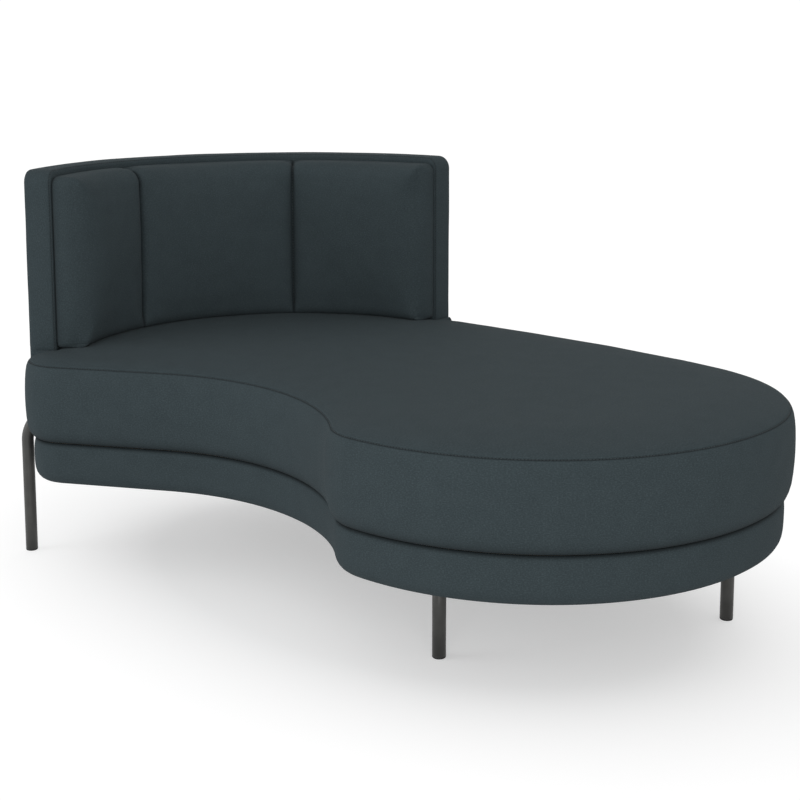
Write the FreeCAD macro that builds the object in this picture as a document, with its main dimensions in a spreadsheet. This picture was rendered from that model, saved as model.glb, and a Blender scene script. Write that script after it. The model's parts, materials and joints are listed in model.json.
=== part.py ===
import FreeCAD, Part
import math
import os
import Sketcher

# Chaise longue: a kidney-shaped seat on an inset upholstered base, with a curved back
# round the head end and four slim steel legs.
# Frame: X along the length toward the foot end, Y toward the straight rear side, Z up.
# The origin lies on the floor under the middle of the overall box. Lengths in millimetres.

Vec = FreeCAD.Vector
doc = FreeCAD.newDocument("ChaiseLongue")
sheet = doc.addObject("Spreadsheet::Sheet", "Sizes")

# Driving dimensions
SIZES = [
    ("head_radius", 548.0, "outline: arc round the head end"),
    ("head_x", -218.7, "outline: centre of the head arc"),
    ("head_y", -99.3, "outline: centre of the head arc"),
    ("corner_radius", 98.0, "outline: front corner of the head end"),
    ("corner_angle", 215.93, "outline: that corner's centre, seen from the head's centre"),
    ("waist_radius", 452.0, "outline: hollow of the waist"),
    ("waist_x", -124.2, "outline: centre of the waist arc"),
    ("hollow_y", -291.0, "outline: innermost point of the waist"),
    ("shoulder_radius", 117.0, "outline: shoulder between waist and foot end"),
    ("front_radius", 496.0, "outline: front of the foot end"),
    ("front_x", 271.3, "outline: centre of the front arc"),
    ("front_y", 54.6, "outline: centre of the front arc"),
    ("end_radius", 364.0, "outline: rear corner of the foot end"),
    ("end_y", 68.5, "outline: centre of the end arc"),
    ("rear_radius", 2886.0, "outline: nearly straight rear side"),
    ("base_clearance", 187.0, "floor to the underside of the base"),
    ("base_thickness", 88.0, "height of the upholstered base"),
    ("base_inset", 15.0, "base side behind the cushion side"),
    ("base_edge_radius", 22.0, "rounding of the base's lower edge"),
    ("band_thickness", 24.0, "foam and cloth round the base"),
    ("cloth_thickness", 4.0, "padding over the deck's edge"),
    ("deck_thickness", 15.0, "plywood deck"),
    ("floor_thickness", 12.0, "plywood floor of the base"),
    ("strip_thickness", 8.0, "bent plywood strip of the base"),
    ("rail_width", 22.0, "cross rails"),
    ("first_rail_x", -470.0, "place of the first cross rail"),
    ("second_rail_x", -170.0, "place of the second cross rail"),
    ("third_rail_x", 120.0, "place of the third cross rail"),
    ("fourth_rail_x", 450.0, "place of the fourth cross rail"),
    ("dust_thickness", 1.2, "dust cloth under the base"),
    ("dust_margin", 6.0, "dust cloth's edge inside the floor's edge"),
    ("cushion_side", 160.0, "seat cushion from the deck to its seam"),
    ("cushion_crown", 15.0, "rise of the seat from the seam to its middle"),
    ("seam_inset", 9.5, "seam behind the widest line of the cushion"),
    ("cushion_tuck", 15.0, "cushion drawn in at its lower edge"),
    ("soft_clearance", 0.3, "between soft pieces and their neighbours"),
    ("back_height", 545.0, "deck to the top of the back"),
    ("back_thickness", 58.0, "back without its cushion"),
    ("back_start_angle", 92.5, "rear end of the back, degrees about the head centre"),
    ("back_stop_angle", 214.5, "front end of the back"),
    ("back_corner_radius", 28.0, "rounding of the back's upper corners"),
    ("back_edge_radius", 9.0, "rounding of the back's edges"),
    ("padding_thickness", 12.0, "foam and cloth on the back's frame"),
    ("skin_thickness", 5.0, "bent plywood skins of the back"),
    ("rib_thickness", 18.0, "curved ribs of the back"),
    ("post_width", 50.0, "posts of the back"),
    ("first_post_angle", 97.3, "post at the rear end"),
    ("third_post_angle", 149.0, "post behind the middle panel"),
    ("fourth_post_angle", 180.0, "post behind the front panel"),
    ("pad_thickness", 68.0, "back cushion at its channels"),
    ("panel_radius", 720.0, "face of each panel, flatter than the back so that it swells"),
    ("pad_corner_radius", 38.0, "rounded ends of the back cushion"),
    ("pad_drop", 13.0, "top of the back cushion below the back's top"),
    ("rear_channel_angle", 133.9, "channel nearer the rear end"),
    ("front_channel_angle", 185.3, "channel nearer the front end"),
    ("pad_top_round", 37.0, "rolled top edge of the back cushion"),
    ("tube_diameter", 25.0, "steel tube of the legs"),
    ("tube_wall", 1.5, "wall of the tube"),
    ("bend_radius", 66.0, "bend of the rear legs on the tube's centre line"),
    ("bend_start", 242.0, "height where the bend starts"),
    ("bend_angle", 50.0, "how far the tube bends before its end, which is cut to its plate"),
    ("leg_standoff", 27.5, "rear legs' centre line outside the back"),
    ("rear_leg_angle", 118.0, "leg behind the back"),
    ("side_leg_margin", 39.214, "leg behind the front end of the back, from that end along the back"),
    ("front_leg_angle", -85.4, "front leg, seen from the centre of the front arc"),
    ("front_leg_margin", 199.5, "front leg's centre inside the outline"),
    ("end_leg_angle", 42.85, "leg at the foot end, seen from the centre of the end arc"),
    ("end_leg_margin", 100.1, "that leg's centre inside the outline"),
    ("plate_width", 72.0, "top plates of the straight legs"),
    ("plate_corner", 8.0, "rounded corners of those plates"),
    ("plate_thickness", 4.0, "steel plates"),
    ("block_width", 96.0, "timber blocks over the straight legs"),
    ("flange_width", 48.0, "curved plates of the rear legs"),
    ("flange_height", 70.0, "curved plates of the rear legs"),
    ("flange_rise", 6.0, "curved plates above the deck"),
    ("glide_thickness", 4.0, "glides under the tubes"),
    ("glide_plug", 12.0, "glides inside the tubes"),
    ("plug_clearance", 0.2, "play of the plug in the tube"),
]
for row, (alias, number, note) in enumerate(SIZES, start=1):
    sheet.set("A%d" % row, note)
    sheet.set("B%d" % row, str(number))
    sheet.setAlias("B%d" % row, alias)
doc.recompute()


class Formula:
    """A length or angle that knows its number and the sheet formula behind it."""

    def __init__(self, number, text):
        self.number = number
        self.text = text

    def __add__(self, other):
        other = formula(other)
        return Formula(self.number + other.number, "(%s + %s)" % (self.text, other.text))

    def __sub__(self, other):
        other = formula(other)
        return Formula(self.number - other.number, "(%s - %s)" % (self.text, other.text))

    def __mul__(self, other):
        other = formula(other)
        return Formula(self.number * other.number, "(%s * %s)" % (self.text, other.text))

    def __truediv__(self, other):
        other = formula(other)
        return Formula(self.number / other.number, "(%s / %s)" % (self.text, other.text))

    def __neg__(self):
        return Formula(-self.number, "(0 - %s)" % self.text)


def formula(value):
    if isinstance(value, Formula):
        return value
    return Formula(float(value), "(%.6f)" % value)


def size(alias):
    return Formula(float(sheet.get(alias)), "Sizes." + alias)


def cosine(angle):
    return Formula(math.cos(math.radians(angle.number)), "cos(%s * 1deg)" % angle.text)


def sine(angle):
    return Formula(math.sin(math.radians(angle.number)), "sin(%s * 1deg)" % angle.text)


def root(value):
    return Formula(math.sqrt(value.number), "sqrt(%s)" % value.text)


def degrees_along(length, radius):
    """Angle, in degrees, that a length takes up on a circle."""
    return length / radius * formula(180.0 / math.pi)


zero = formula(0.0)

# Levels and offsets that several pieces share
base_bottom = size("base_clearance")
deck_top = base_bottom + size("base_thickness")
deck_bottom = deck_top - size("deck_thickness")
floor_top = base_bottom + size("floor_thickness")
seam_level = deck_top + size("cushion_side")
seat_top = seam_level + size("cushion_crown")
back_top = deck_top + size("back_height")
frame_top = back_top - size("padding_thickness")
deck_inset = size("base_inset") + size("cloth_thickness")
floor_inset = size("base_inset") + size("band_thickness")
hollow_inset = floor_inset + size("strip_thickness")
dust_bottom = base_bottom - size("dust_thickness")
plate_bottom = dust_bottom - size("plate_thickness")
tube_radius = size("tube_diameter") / 2
bore_radius = tube_radius - size("tube_wall")
head_x = size("head_x")
head_y = size("head_y")
waist_y = size("hollow_y") - size("waist_radius")
back_outside = size("head_radius")
back_inside = back_outside - size("back_thickness")
skin_outside = back_outside - size("padding_thickness")
skin_inside = back_inside + size("padding_thickness")
rib_outside = skin_outside - size("skin_thickness")
rib_inside = skin_inside + size("skin_thickness")
frame_margin = degrees_along(size("padding_thickness"), back_outside)
frame_start = size("back_start_angle") + frame_margin
frame_stop = size("back_stop_angle") - frame_margin
leg_circle = back_outside + size("leg_standoff")
rear_leg_angle = size("rear_leg_angle")
side_leg_angle = size("back_stop_angle") - degrees_along(size("side_leg_margin"), back_outside)

made = []


# Helpers
def new_body(label):
    body = doc.addObject("PartDesign::Body", label)
    body.Label = label
    return body


def own_plane(body, role):
    return [item for item in body.Origin.OriginFeatures if item.Role == role][0]


def new_sketch(body, name, level=zero, role="XY_Plane"):
    sketch = body.newObject("Sketcher::SketchObject", name)
    sketch.AttachmentSupport = [(own_plane(body, role), "")]
    sketch.MapMode = "FlatFace"
    sketch.AttachmentOffset = FreeCAD.Placement(Vec(0, 0, level.number), FreeCAD.Rotation())
    if level is not zero:
        sketch.setExpression("AttachmentOffset.Base.z", level.text)
    return sketch


def add_constraints(sketch, plain, driven):
    """Adds the fixed constraints and then the dimensions, each tied to its formula."""
    sketch.addConstraint([Sketcher.Constraint(*item) for item in plain])
    for item, value in driven:
        index = sketch.addConstraint(Sketcher.Constraint(*item, value.number))
        sketch.setExpression("Constraints[%d]" % index, value.text)


def pad(body, sketch, height, name="Pad"):
    feature = body.newObject("PartDesign::Pad", name)
    feature.Profile = sketch
    feature.Length = height.number
    feature.setExpression("Length", height.text)
    sketch.Visibility = False
    return feature


def pocket(body, sketch, depth, upward, name="Pocket"):
    """Cuts away from the sketch, upward or downward."""
    feature = body.newObject("PartDesign::Pocket", name)
    feature.Profile = sketch
    feature.Length = depth.number
    feature.setExpression("Length", depth.text)
    feature.Reversed = upward
    sketch.Visibility = False
    return feature


def loft(body, sketches, name="Loft"):
    feature = body.newObject("PartDesign::AdditiveLoft", name)
    feature.Profile = sketches[0]
    feature.Sections = sketches[1:]
    feature.Ruled = True
    return feature


def fillet(body, base, edges, radius, name="Fillet"):
    feature = body.newObject("PartDesign::Fillet", name)
    feature.Base = (base, edges)
    feature.Radius = radius.number
    feature.setExpression("Radius", radius.text)
    return feature


def edges_where(feature, test):
    found = []
    for number, edge in enumerate(feature.Shape.Edges, start=1):
        middle = edge.valueAt((edge.FirstParameter + edge.LastParameter) / 2)
        if test(edge, middle):
            found.append("Edge%d" % number)
    return found


def cut(label, base, tool):
    feature = doc.addObject("Part::Cut", label)
    feature.Label = label
    feature.Base = base
    feature.Tool = tool
    return feature


def keep(item):
    """Marks a piece that is written to its own file."""
    made.append(item)
    return item


def meeting_centre(first, first_reach, second, second_reach, side):
    """Centre that lies first_reach from one centre and second_reach from the other."""
    span = (second - first).Length
    along = (first_reach ** 2 - second_reach ** 2 + span ** 2) / (2 * span)
    across = math.sqrt(max(first_reach ** 2 - along ** 2, 0.0))
    ahead = (second - first) / span
    return first + ahead * along + Vec(-ahead.y, ahead.x, 0) * across * side


# The kidney outline: seven arcs and one short straight, all tangent. Every piece that follows
# the outline uses the same centres and changes only the radii, so that offsets stay true.
def outline_shape(inset):
    head = size("head_radius").number - inset
    corner = size("corner_radius").number - inset
    waist = size("waist_radius").number + inset
    shoulder = size("shoulder_radius").number - inset
    front = size("front_radius").number - inset
    end = size("end_radius").number - inset
    rear = size("rear_radius").number - inset
    head_at = Vec(head_x.number, head_y.number, 0)
    toward_corner = math.radians(size("corner_angle").number)
    corner_at = head_at + Vec(math.cos(toward_corner), math.sin(toward_corner), 0) * (head - corner)
    waist_at = Vec(size("waist_x").number, waist_y.number, 0)
    front_at = Vec(size("front_x").number, size("front_y").number, 0)
    rise = size("end_y").number - front_at.y
    end_at = Vec(front_at.x + math.sqrt((front - end) ** 2 - rise ** 2), front_at.y + rise, 0)
    shoulder_at = meeting_centre(waist_at, waist + shoulder, front_at, front - shoulder, -1)
    rear_at = meeting_centre(end_at, rear - end, head_at, rear - head, 1)
    # The straight touches the corner on its outside and the waist on its hollow side.
    gap = waist_at - corner_at
    turn = math.atan2(gap.y, gap.x) - math.acos((corner + waist) / gap.Length)
    out = Vec(math.cos(turn), math.sin(turn), 0)
    points = [
        head_at + (corner_at - head_at).normalize() * head,
        corner_at + out * corner,
        waist_at - out * waist,
        waist_at + (shoulder_at - waist_at).normalize() * waist,
        front_at + (shoulder_at - front_at).normalize() * front,
        front_at + (end_at - front_at).normalize() * front,
        rear_at + (end_at - rear_at).normalize() * rear,
        rear_at + (head_at - rear_at).normalize() * rear,
    ]
    arcs = {
        "corner": (corner_at, corner, points[0], points[1]),
        "waist": (waist_at, waist, points[3], points[2]),
        "shoulder": (shoulder_at, shoulder, points[3], points[4]),
        "front": (front_at, front, points[4], points[5]),
        "end": (end_at, end, points[5], points[6]),
        "rear": (rear_at, rear, points[6], points[7]),
        "head": (head_at, head, points[7], points[0]),
    }
    return points, arcs


def arc_geometry(centre, radius, start, stop):
    """Arc that runs counter-clockwise from start to stop."""
    first = math.atan2(start.y - centre.y, start.x - centre.x)
    last = math.atan2(stop.y - centre.y, stop.x - centre.x)
    if last < first:
        last += 2 * math.pi
    return Part.ArcOfCircle(Part.Circle(centre, Vec(0, 0, 1), radius), first, last)


def add_outline(sketch, inset):
    """Draws the kidney outline, drawn in by the inset, fully dimensioned from the sheet."""
    points, arcs = outline_shape(inset.number)
    order = ["corner", "straight", "waist", "shoulder", "front", "end", "rear", "head"]
    at = {}
    for name in order:
        if name == "straight":
            at[name] = sketch.addGeometry(Part.LineSegment(points[1], points[2]), False)
        else:
            at[name] = sketch.addGeometry(arc_geometry(*arcs[name]), False)
    tangent = []
    for name, following in zip(order, order[1:] + order[:1]):
        # The waist is drawn counter-clockwise too, so its ends are the other way round.
        leaving = 1 if name == "waist" else 2
        entering = 2 if following == "waist" else 1
        tangent.append(("Tangent", at[name], leaving, at[following], entering))
    driven = []
    for name in ["corner", "shoulder", "front", "end", "rear", "head"]:
        driven.append((("Radius", at[name]), size(name + "_radius") - inset))
    driven.append((("Radius", at["waist"]), size("waist_radius") + inset))
    for name, level in (("head", head_y), ("waist", waist_y), ("front", size("front_y"))):
        driven.append((("DistanceX", -1, 1, at[name], 3), size(name + "_x")))
        driven.append((("DistanceY", -1, 1, at[name], 3), level))
    reach = size("head_radius") - size("corner_radius")
    driven.append((("DistanceY", -1, 1, at["corner"], 3), head_y + reach * sine(size("corner_angle"))))
    driven.append((("DistanceY", -1, 1, at["end"], 3), size("end_y")))
    add_constraints(sketch, tangent, driven)


def outline_sketch(body, name, level, *insets):
    sketch = new_sketch(body, name, level)
    for inset in insets:
        add_outline(sketch, inset)
    return sketch


def outline_plate(label, level, height, *insets):
    """A flat plate, or a ring where two insets are given."""
    body = new_body(label)
    pad(body, outline_sketch(body, label + "_outline", level, *insets), height)
    return body


def polar(radius, angle):
    return head_x + radius * cosine(angle), head_y + radius * sine(angle)


def place(point):
    return Vec(point[0].number, point[1].number, 0)


# A slice of a ring about the head centre, which the parts of the back share
def sector_sketch(body, name, level, inner, outer, start, stop):
    sketch = new_sketch(body, name, level)
    centre = Vec(head_x.number, head_y.number, 0)
    corners = [place(polar(r, a)) for r, a in
               ((outer, start), (outer, stop), (inner, stop), (inner, start))]
    outside = sketch.addGeometry(arc_geometry(centre, outer.number, corners[0], corners[1]), False)
    left = sketch.addGeometry(Part.LineSegment(corners[1], corners[2]), False)
    inside = sketch.addGeometry(arc_geometry(centre, inner.number, corners[3], corners[2]), False)
    right = sketch.addGeometry(Part.LineSegment(corners[3], corners[0]), False)
    plain = [
        ("Coincident", outside, 2, left, 1),
        ("Coincident", left, 2, inside, 2),
        ("Coincident", inside, 1, right, 1),
        ("Coincident", right, 2, outside, 1),
        ("Coincident", outside, 3, inside, 3),
        ("PointOnObject", outside, 3, left),
        ("PointOnObject", outside, 3, right),
    ]
    end_point = polar(outer, stop)
    start_point = polar(outer, start)
    driven = [
        (("Radius", outside), outer),
        (("Radius", inside), inner),
        (("DistanceX", -1, 1, outside, 3), head_x),
        (("DistanceY", -1, 1, outside, 3), head_y),
        (("DistanceX", -1, 1, left, 1) if abs(math.sin(math.radians(stop.number))) > 0.7
         else ("DistanceY", -1, 1, left, 1),
         end_point[0] if abs(math.sin(math.radians(stop.number))) > 0.7 else end_point[1]),
        (("DistanceX", -1, 1, right, 2) if abs(math.sin(math.radians(start.number))) > 0.7
         else ("DistanceY", -1, 1, right, 2),
         start_point[0] if abs(math.sin(math.radians(start.number))) > 0.7 else start_point[1]),
    ]
    add_constraints(sketch, plain, driven)
    return sketch


def sector_body(label, level, height, inner, outer, start, stop):
    body = new_body(label)
    pad(body, sector_sketch(body, label + "_slice", level, inner, outer, start, stop), height)
    return body


def polygon_sketch(body, name, level, sides, radius):
    """An even polygon about the body's axis; the radius is that of its corners."""
    sketch = new_sketch(body, name, level)
    around = sketch.addGeometry(Part.Circle(Vec(0, 0, 0), Vec(0, 0, 1), radius.number), True)
    spots = [Vec(radius.number * math.cos(2 * math.pi * k / sides),
                 radius.number * math.sin(2 * math.pi * k / sides), 0) for k in range(sides)]
    lines = [sketch.addGeometry(Part.LineSegment(spots[k], spots[(k + 1) % sides]), False)
             for k in range(sides)]
    plain = [("Coincident", around, 3, -1, 1), ("PointOnObject", lines[0], 1, -1)]
    for k in range(sides):
        plain.append(("Coincident", lines[k], 2, lines[(k + 1) % sides], 1))
        plain.append(("PointOnObject", lines[k], 1, around))
    for k in range(sides - 1):
        plain.append(("Equal", lines[k], lines[k + 1]))
    add_constraints(sketch, plain, [(("Radius", around), radius)])
    return sketch


def rounded_sector_sketch(body, name, level, inner, outer, start, stop, corner):
    """A slice of a ring about the head centre with its four corners rounded."""
    sketch = new_sketch(body, name, level)
    hub = Vec(head_x.number, head_y.number, 0)
    out_leg = root((outer - corner) * (outer - corner) - corner * corner)
    in_leg = root((inner + corner) * (inner + corner) - corner * corner)
    out_turn = math.degrees(math.asin(corner.number / (outer - corner).number))
    in_turn = math.degrees(math.asin(corner.number / (inner + corner).number))

    def spot(radius, angle):
        return place(polar(formula(radius), formula(angle)))

    def corner_arc(radius, angle, first, last):
        return sketch.addGeometry(arc_geometry(spot(radius, angle), corner.number, first, last), False)

    far = [spot(outer.number, start.number + out_turn), spot(outer.number, stop.number - out_turn)]
    near = [spot(inner.number, start.number + in_turn), spot(inner.number, stop.number - in_turn)]
    stop_side = [spot(out_leg.number, stop.number), spot(in_leg.number, stop.number)]
    start_side = [spot(in_leg.number, start.number), spot(out_leg.number, start.number)]
    outside = sketch.addGeometry(arc_geometry(hub, outer.number, far[0], far[1]), False)
    first = corner_arc((outer - corner).number, stop.number - out_turn, far[1], stop_side[0])
    left = sketch.addGeometry(Part.LineSegment(*stop_side), False)
    second = corner_arc((inner + corner).number, stop.number - in_turn, stop_side[1], near[1])
    inside = sketch.addGeometry(arc_geometry(hub, inner.number, near[0], near[1]), False)
    third = corner_arc((inner + corner).number, start.number + in_turn, near[0], start_side[0])
    right = sketch.addGeometry(Part.LineSegment(*start_side), False)
    fourth = corner_arc((outer - corner).number, start.number + out_turn, start_side[1], far[0])
    plain = [
        ("Tangent", outside, 2, first, 1), ("Tangent", first, 2, left, 1),
        ("Tangent", left, 2, second, 1), ("Tangent", second, 2, inside, 2),
        ("Tangent", inside, 1, third, 1), ("Tangent", third, 2, right, 1),
        ("Tangent", right, 2, fourth, 1), ("Tangent", fourth, 2, outside, 1),
        ("Coincident", outside, 3, inside, 3),
        ("PointOnObject", outside, 3, left), ("PointOnObject", outside, 3, right),
    ]
    driven = [(("Radius", outside), outer), (("Radius", inside), inner)]
    driven += [(("Radius", arc), corner) for arc in (first, second, third, fourth)]
    driven += [(("DistanceX", -1, 1, outside, 3), head_x), (("DistanceY", -1, 1, outside, 3), head_y)]
    for side, end, angle in ((left, 1, stop), (right, 2, start)):
        flat = abs(math.sin(math.radians(angle.number))) > 0.7
        at = polar(out_leg, angle)
        driven.append((("DistanceX" if flat else "DistanceY", -1, 1, side, end), at[0] if flat else at[1]))
    add_constraints(sketch, plain, driven)
    return sketch


# Base: a closed box of plywood with a bent strip round it, rails across and soft padding
deck = keep(outline_plate("deck_board", deck_bottom, size("deck_thickness"), deck_inset))
keep(outline_plate("rim_strip", floor_top, deck_bottom - floor_top, floor_inset, hollow_inset))
keep(outline_plate("floor_panel", base_bottom, size("floor_thickness"), floor_inset))
keep(outline_plate("dust_cover", dust_bottom, size("dust_thickness"),
                   floor_inset + size("dust_margin")))

hollow = outline_plate("base_hollow", floor_top, deck_bottom - floor_top, hollow_inset)
for number, alias in enumerate(["first_rail_x", "second_rail_x", "third_rail_x", "fourth_rail_x"], 1):
    long_rail = doc.addObject("Part::Box", "rail_stock_%d" % number)
    long_rail.setExpression("Length", "Sizes.rail_width")
    long_rail.setExpression("Width", (size("head_radius") * 4).text)
    long_rail.setExpression("Height", (deck_bottom - floor_top).text)
    long_rail.setExpression("Placement.Base.x", (size(alias) - size("rail_width") / 2).text)
    long_rail.setExpression("Placement.Base.y", (size("head_radius") * -2).text)
    long_rail.setExpression("Placement.Base.z", floor_top.text)
    rail = doc.addObject("Part::Common", "cross_rail_%d" % number)
    rail.Label = "cross_rail_%d" % number
    rail.Base = long_rail
    rail.Tool = hollow
    keep(rail)

# Soft covering: foam and cloth round the box, thin over the deck's edge, rounded below
band = new_body("band_form")
round_rows = []
for turn in (0, 45, 90):
    drop = size("base_edge_radius") * (1 - math.cos(math.radians(turn)))
    drawn = size("base_edge_radius") * (1 - math.sin(math.radians(turn)))
    round_rows.append((base_bottom + drop, size("base_inset") + drawn))
round_rows.append((deck_top, size("base_inset")))
loft(band, [outline_sketch(band, "band_row_%d" % number, level, drawn)
            for number, (level, drawn) in enumerate(round_rows)])
band_inside = outline_plate("band_inside", base_bottom, deck_bottom - base_bottom, floor_inset)
filling = doc.addObject("Part::MultiFuse", "band_filling")
filling.Shapes = [band_inside, deck]
keep(cut("base_band", band, filling))

# Seat cushion: drawn in at the foot, upright side, seam below the rolled edge, crowned top.
# Each row is a level above the deck and how far the outline is drawn in there.
def cushion_rows(side, crown, tuck, seam):
    return [
        (zero, tuck),
        (side * 0.16, tuck * 0.14),
        (side * 0.82, zero),
        (side * 0.95, seam * 0.42),
        (side, seam),
        (side + crown * 0.42, seam + crown * 0.85),
        (side + crown * 0.80, seam + crown * 2.9),
        (side + crown, seam + crown * 5.0),
    ]


clear_angle = degrees_along(size("soft_clearance"), back_inside)
seat = new_body("seat_cushion")
loft(seat, [outline_sketch(seat, "seat_row_%d" % number, deck_top + rise, drawn)
            for number, (rise, drawn) in enumerate(cushion_rows(
                size("cushion_side"), size("cushion_crown"), size("cushion_tuck"), size("seam_inset")))])
doc.recompute()
whole = seat.Shape.Volume
# The back stands in a notch of the cushion.
notch = sector_sketch(seat, "seat_notch", deck_top, back_inside - size("soft_clearance"),
                      back_outside * 1.6, size("back_start_angle") - clear_angle,
                      size("back_stop_angle") + clear_angle)
pocket(seat, notch, size("cushion_side") + size("cushion_crown") * 2, True, "Notch")
doc.recompute()
if seat.Shape.Volume > whole * 0.98:
    raise RuntimeError("the notch for the back was not cut")
keep(seat)

# Back frame: curved ribs, posts and two bent skins on the deck
keep(sector_body("bottom_rib", deck_top, size("rib_thickness"), rib_inside, rib_outside,
                 frame_start, frame_stop))
keep(sector_body("top_rib", frame_top - size("rib_thickness"), size("rib_thickness"),
                 rib_inside, rib_outside, frame_start, frame_stop))
skin_height = frame_top - deck_top
keep(sector_body("inner_skin", deck_top, skin_height, skin_inside, rib_inside,
                 frame_start, frame_stop))
keep(sector_body("outer_skin", deck_top, skin_height, rib_outside, skin_outside,
                 frame_start, frame_stop))
post_half = degrees_along(size("post_width") / 2, rib_outside)
post_angles = [size("first_post_angle"), rear_leg_angle, size("third_post_angle"),
               size("fourth_post_angle"), side_leg_angle]
for number, angle in enumerate(post_angles, start=1):
    keep(sector_body("back_post_%d" % number, deck_top + size("rib_thickness"),
                     skin_height - size("rib_thickness") * 2, rib_inside, rib_outside,
                     angle - post_half, angle + post_half))

# Tubes and plates about a leg's own axis
def ring_body(label, level, height, outer, inner=None):
    body = new_body(label)
    sketch = new_sketch(body, label + "_ring", level)
    radii = [outer] if inner is None else [outer, inner]
    plain = []
    driven = []
    for radius in radii:
        around = sketch.addGeometry(Part.Circle(Vec(0, 0, 0), Vec(0, 0, 1), radius.number), False)
        plain.append(("Coincident", around, 3, -1, 1))
        driven.append((("Radius", around), radius))
    add_constraints(sketch, plain, driven)
    pad(body, sketch, height)
    return body


def set_place(item, x, y):
    item.setExpression("Placement.Base.x", x.text)
    item.setExpression("Placement.Base.y", y.text)


# The straight legs keep their distance from the arcs that they stand behind.
end_x = size("front_x") + root((size("front_radius") - size("end_radius")) * (size("front_radius") - size("end_radius"))
                               - (size("end_y") - size("front_y")) * (size("end_y") - size("front_y")))
leg_places = {}
for name, x, y, radius in (("front", size("front_x"), size("front_y"), size("front_radius")),
                           ("end", end_x, size("end_y"), size("end_radius"))):
    reach = radius - size(name + "_leg_margin")
    leg_places[name] = (x + reach * cosine(size(name + "_leg_angle")),
                        y + reach * sine(size(name + "_leg_angle")))

glide = size("glide_thickness")
for name in ["front", "end"]:
    x, y = leg_places[name]
    tube = ring_body(name + "_leg_tube", glide, plate_bottom - glide, tube_radius, bore_radius)
    set_place(tube, x, y)
    keep(tube)
    plate = new_body(name + "_leg_plate")
    face = new_sketch(plate, name + "_plate_face", plate_bottom)
    half = size("plate_width").number / 2
    ends = [Vec(-half, -half, 0), Vec(half, -half, 0), Vec(half, half, 0), Vec(-half, half, 0)]
    sides = [face.addGeometry(Part.LineSegment(ends[k], ends[(k + 1) % 4]), False) for k in range(4)]
    add_constraints(face, [("Coincident", sides[k], 2, sides[(k + 1) % 4], 1) for k in range(4)]
                    + [("Horizontal", sides[0]), ("Horizontal", sides[2]),
                       ("Vertical", sides[1]), ("Vertical", sides[3]),
                       ("Symmetric", sides[0], 1, sides[2], 1, -1, 1)],
                    [(("Distance", sides[0]), size("plate_width")),
                     (("Distance", sides[1]), size("plate_width"))])
    sheet_metal = pad(plate, face, size("plate_thickness"))
    doc.recompute()
    fillet(plate, sheet_metal, edges_where(sheet_metal, lambda edge, middle: abs(
        middle.z - (plate_bottom + size("plate_thickness") / 2).number) < 0.1),
        size("plate_corner"), "Corners")
    set_place(plate, x, y)
    keep(plate)
    stock = doc.addObject("Part::Box", name + "_block_stock")
    stock.setExpression("Length", "Sizes.block_width")
    stock.setExpression("Width", "Sizes.block_width")
    stock.setExpression("Height", (deck_bottom - floor_top).text)
    stock.setExpression("Placement.Base.z", floor_top.text)
    set_place(stock, x - size("block_width") / 2, y - size("block_width") / 2)
    # The corner of a block is cut to the strip that it is glued to.
    block = doc.addObject("Part::Common", name + "_leg_block")
    block.Label = name + "_leg_block"
    block.Base = stock
    block.Tool = hollow
    keep(block)


# Rear legs: a tube that rises from the floor outside the back and bends into its frame
def ring_rows(body, name, radii, aside, level, lean):
    """The tube's section at one place of the bend, square to its centre line."""
    sketch = new_sketch(body, name)
    sketch.AttachmentOffset = FreeCAD.Placement(
        Vec(aside.number, 0, level.number), FreeCAD.Rotation(Vec(0, 1, 0), lean.number))
    sketch.setExpression("AttachmentOffset.Base.x", aside.text)
    sketch.setExpression("AttachmentOffset.Base.z", level.text)
    if lean is not zero and lean.number > 0:
        sketch.setExpression("AttachmentOffset.Rotation.Angle", lean.text + " * 1deg")
    plain = []
    driven = []
    for radius in radii:
        around = sketch.addGeometry(Part.Circle(Vec(0, 0, 0), Vec(0, 0, 1), radius.number), False)
        plain.append(("Coincident", around, 3, -1, 1))
        driven.append((("Radius", around), radius))
    add_constraints(sketch, plain, driven)
    return sketch


def bent_tube(label, angle, radii):
    body = new_body(label)
    turn = size("bend_radius")
    pad(body, ring_rows(body, label + "_foot", radii, zero, glide, zero), size("bend_start") - glide)
    rows = []
    for number in range(4):
        lean = size("bend_angle") * (number / 3.0)
        rows.append(ring_rows(body, "%s_bend_%d" % (label, number), radii, turn - turn * cosine(lean),
                              size("bend_start") + turn * sine(lean), lean))
    loft(body, rows)
    pad(body, ring_rows(body, label + "_end", radii, turn - turn * cosine(lean),
                        size("bend_start") + turn * sine(lean), lean), turn, "End")
    x, y = polar(leg_circle, angle)
    turned = angle + 180
    body.Placement = FreeCAD.Placement(Vec(x.number, y.number, 0),
                                       FreeCAD.Rotation(Vec(0, 0, 1), turned.number))
    set_place(body, x, y)
    body.setExpression("Placement.Rotation.Angle", turned.text + " * 1deg")
    return body


flange_outside = skin_outside + size("plate_thickness")
flange_half = degrees_along(size("flange_width") / 2, skin_outside)
holes_for_legs = []
for name, angle in (("rear", rear_leg_angle), ("side", side_leg_angle)):
    tube = bent_tube(name + "_leg_stock", angle, [tube_radius, bore_radius])
    drum = doc.addObject("Part::Cylinder", name + "_leg_trim")
    drum.setExpression("Radius", flange_outside.text)
    drum.setExpression("Height", back_top.text)
    set_place(drum, head_x, head_y)
    keep(cut(name + "_leg_tube", tube, drum))
    flange = sector_body(name + "_leg_flange", deck_top + size("flange_rise"), size("flange_height"),
                         skin_outside, flange_outside, angle - flange_half, angle + flange_half)
    keep(flange)
    holes_for_legs.append(flange)
    holes_for_legs.append(bent_tube(name + "_leg_room", angle, [tube_radius + size("soft_clearance")]))

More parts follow.
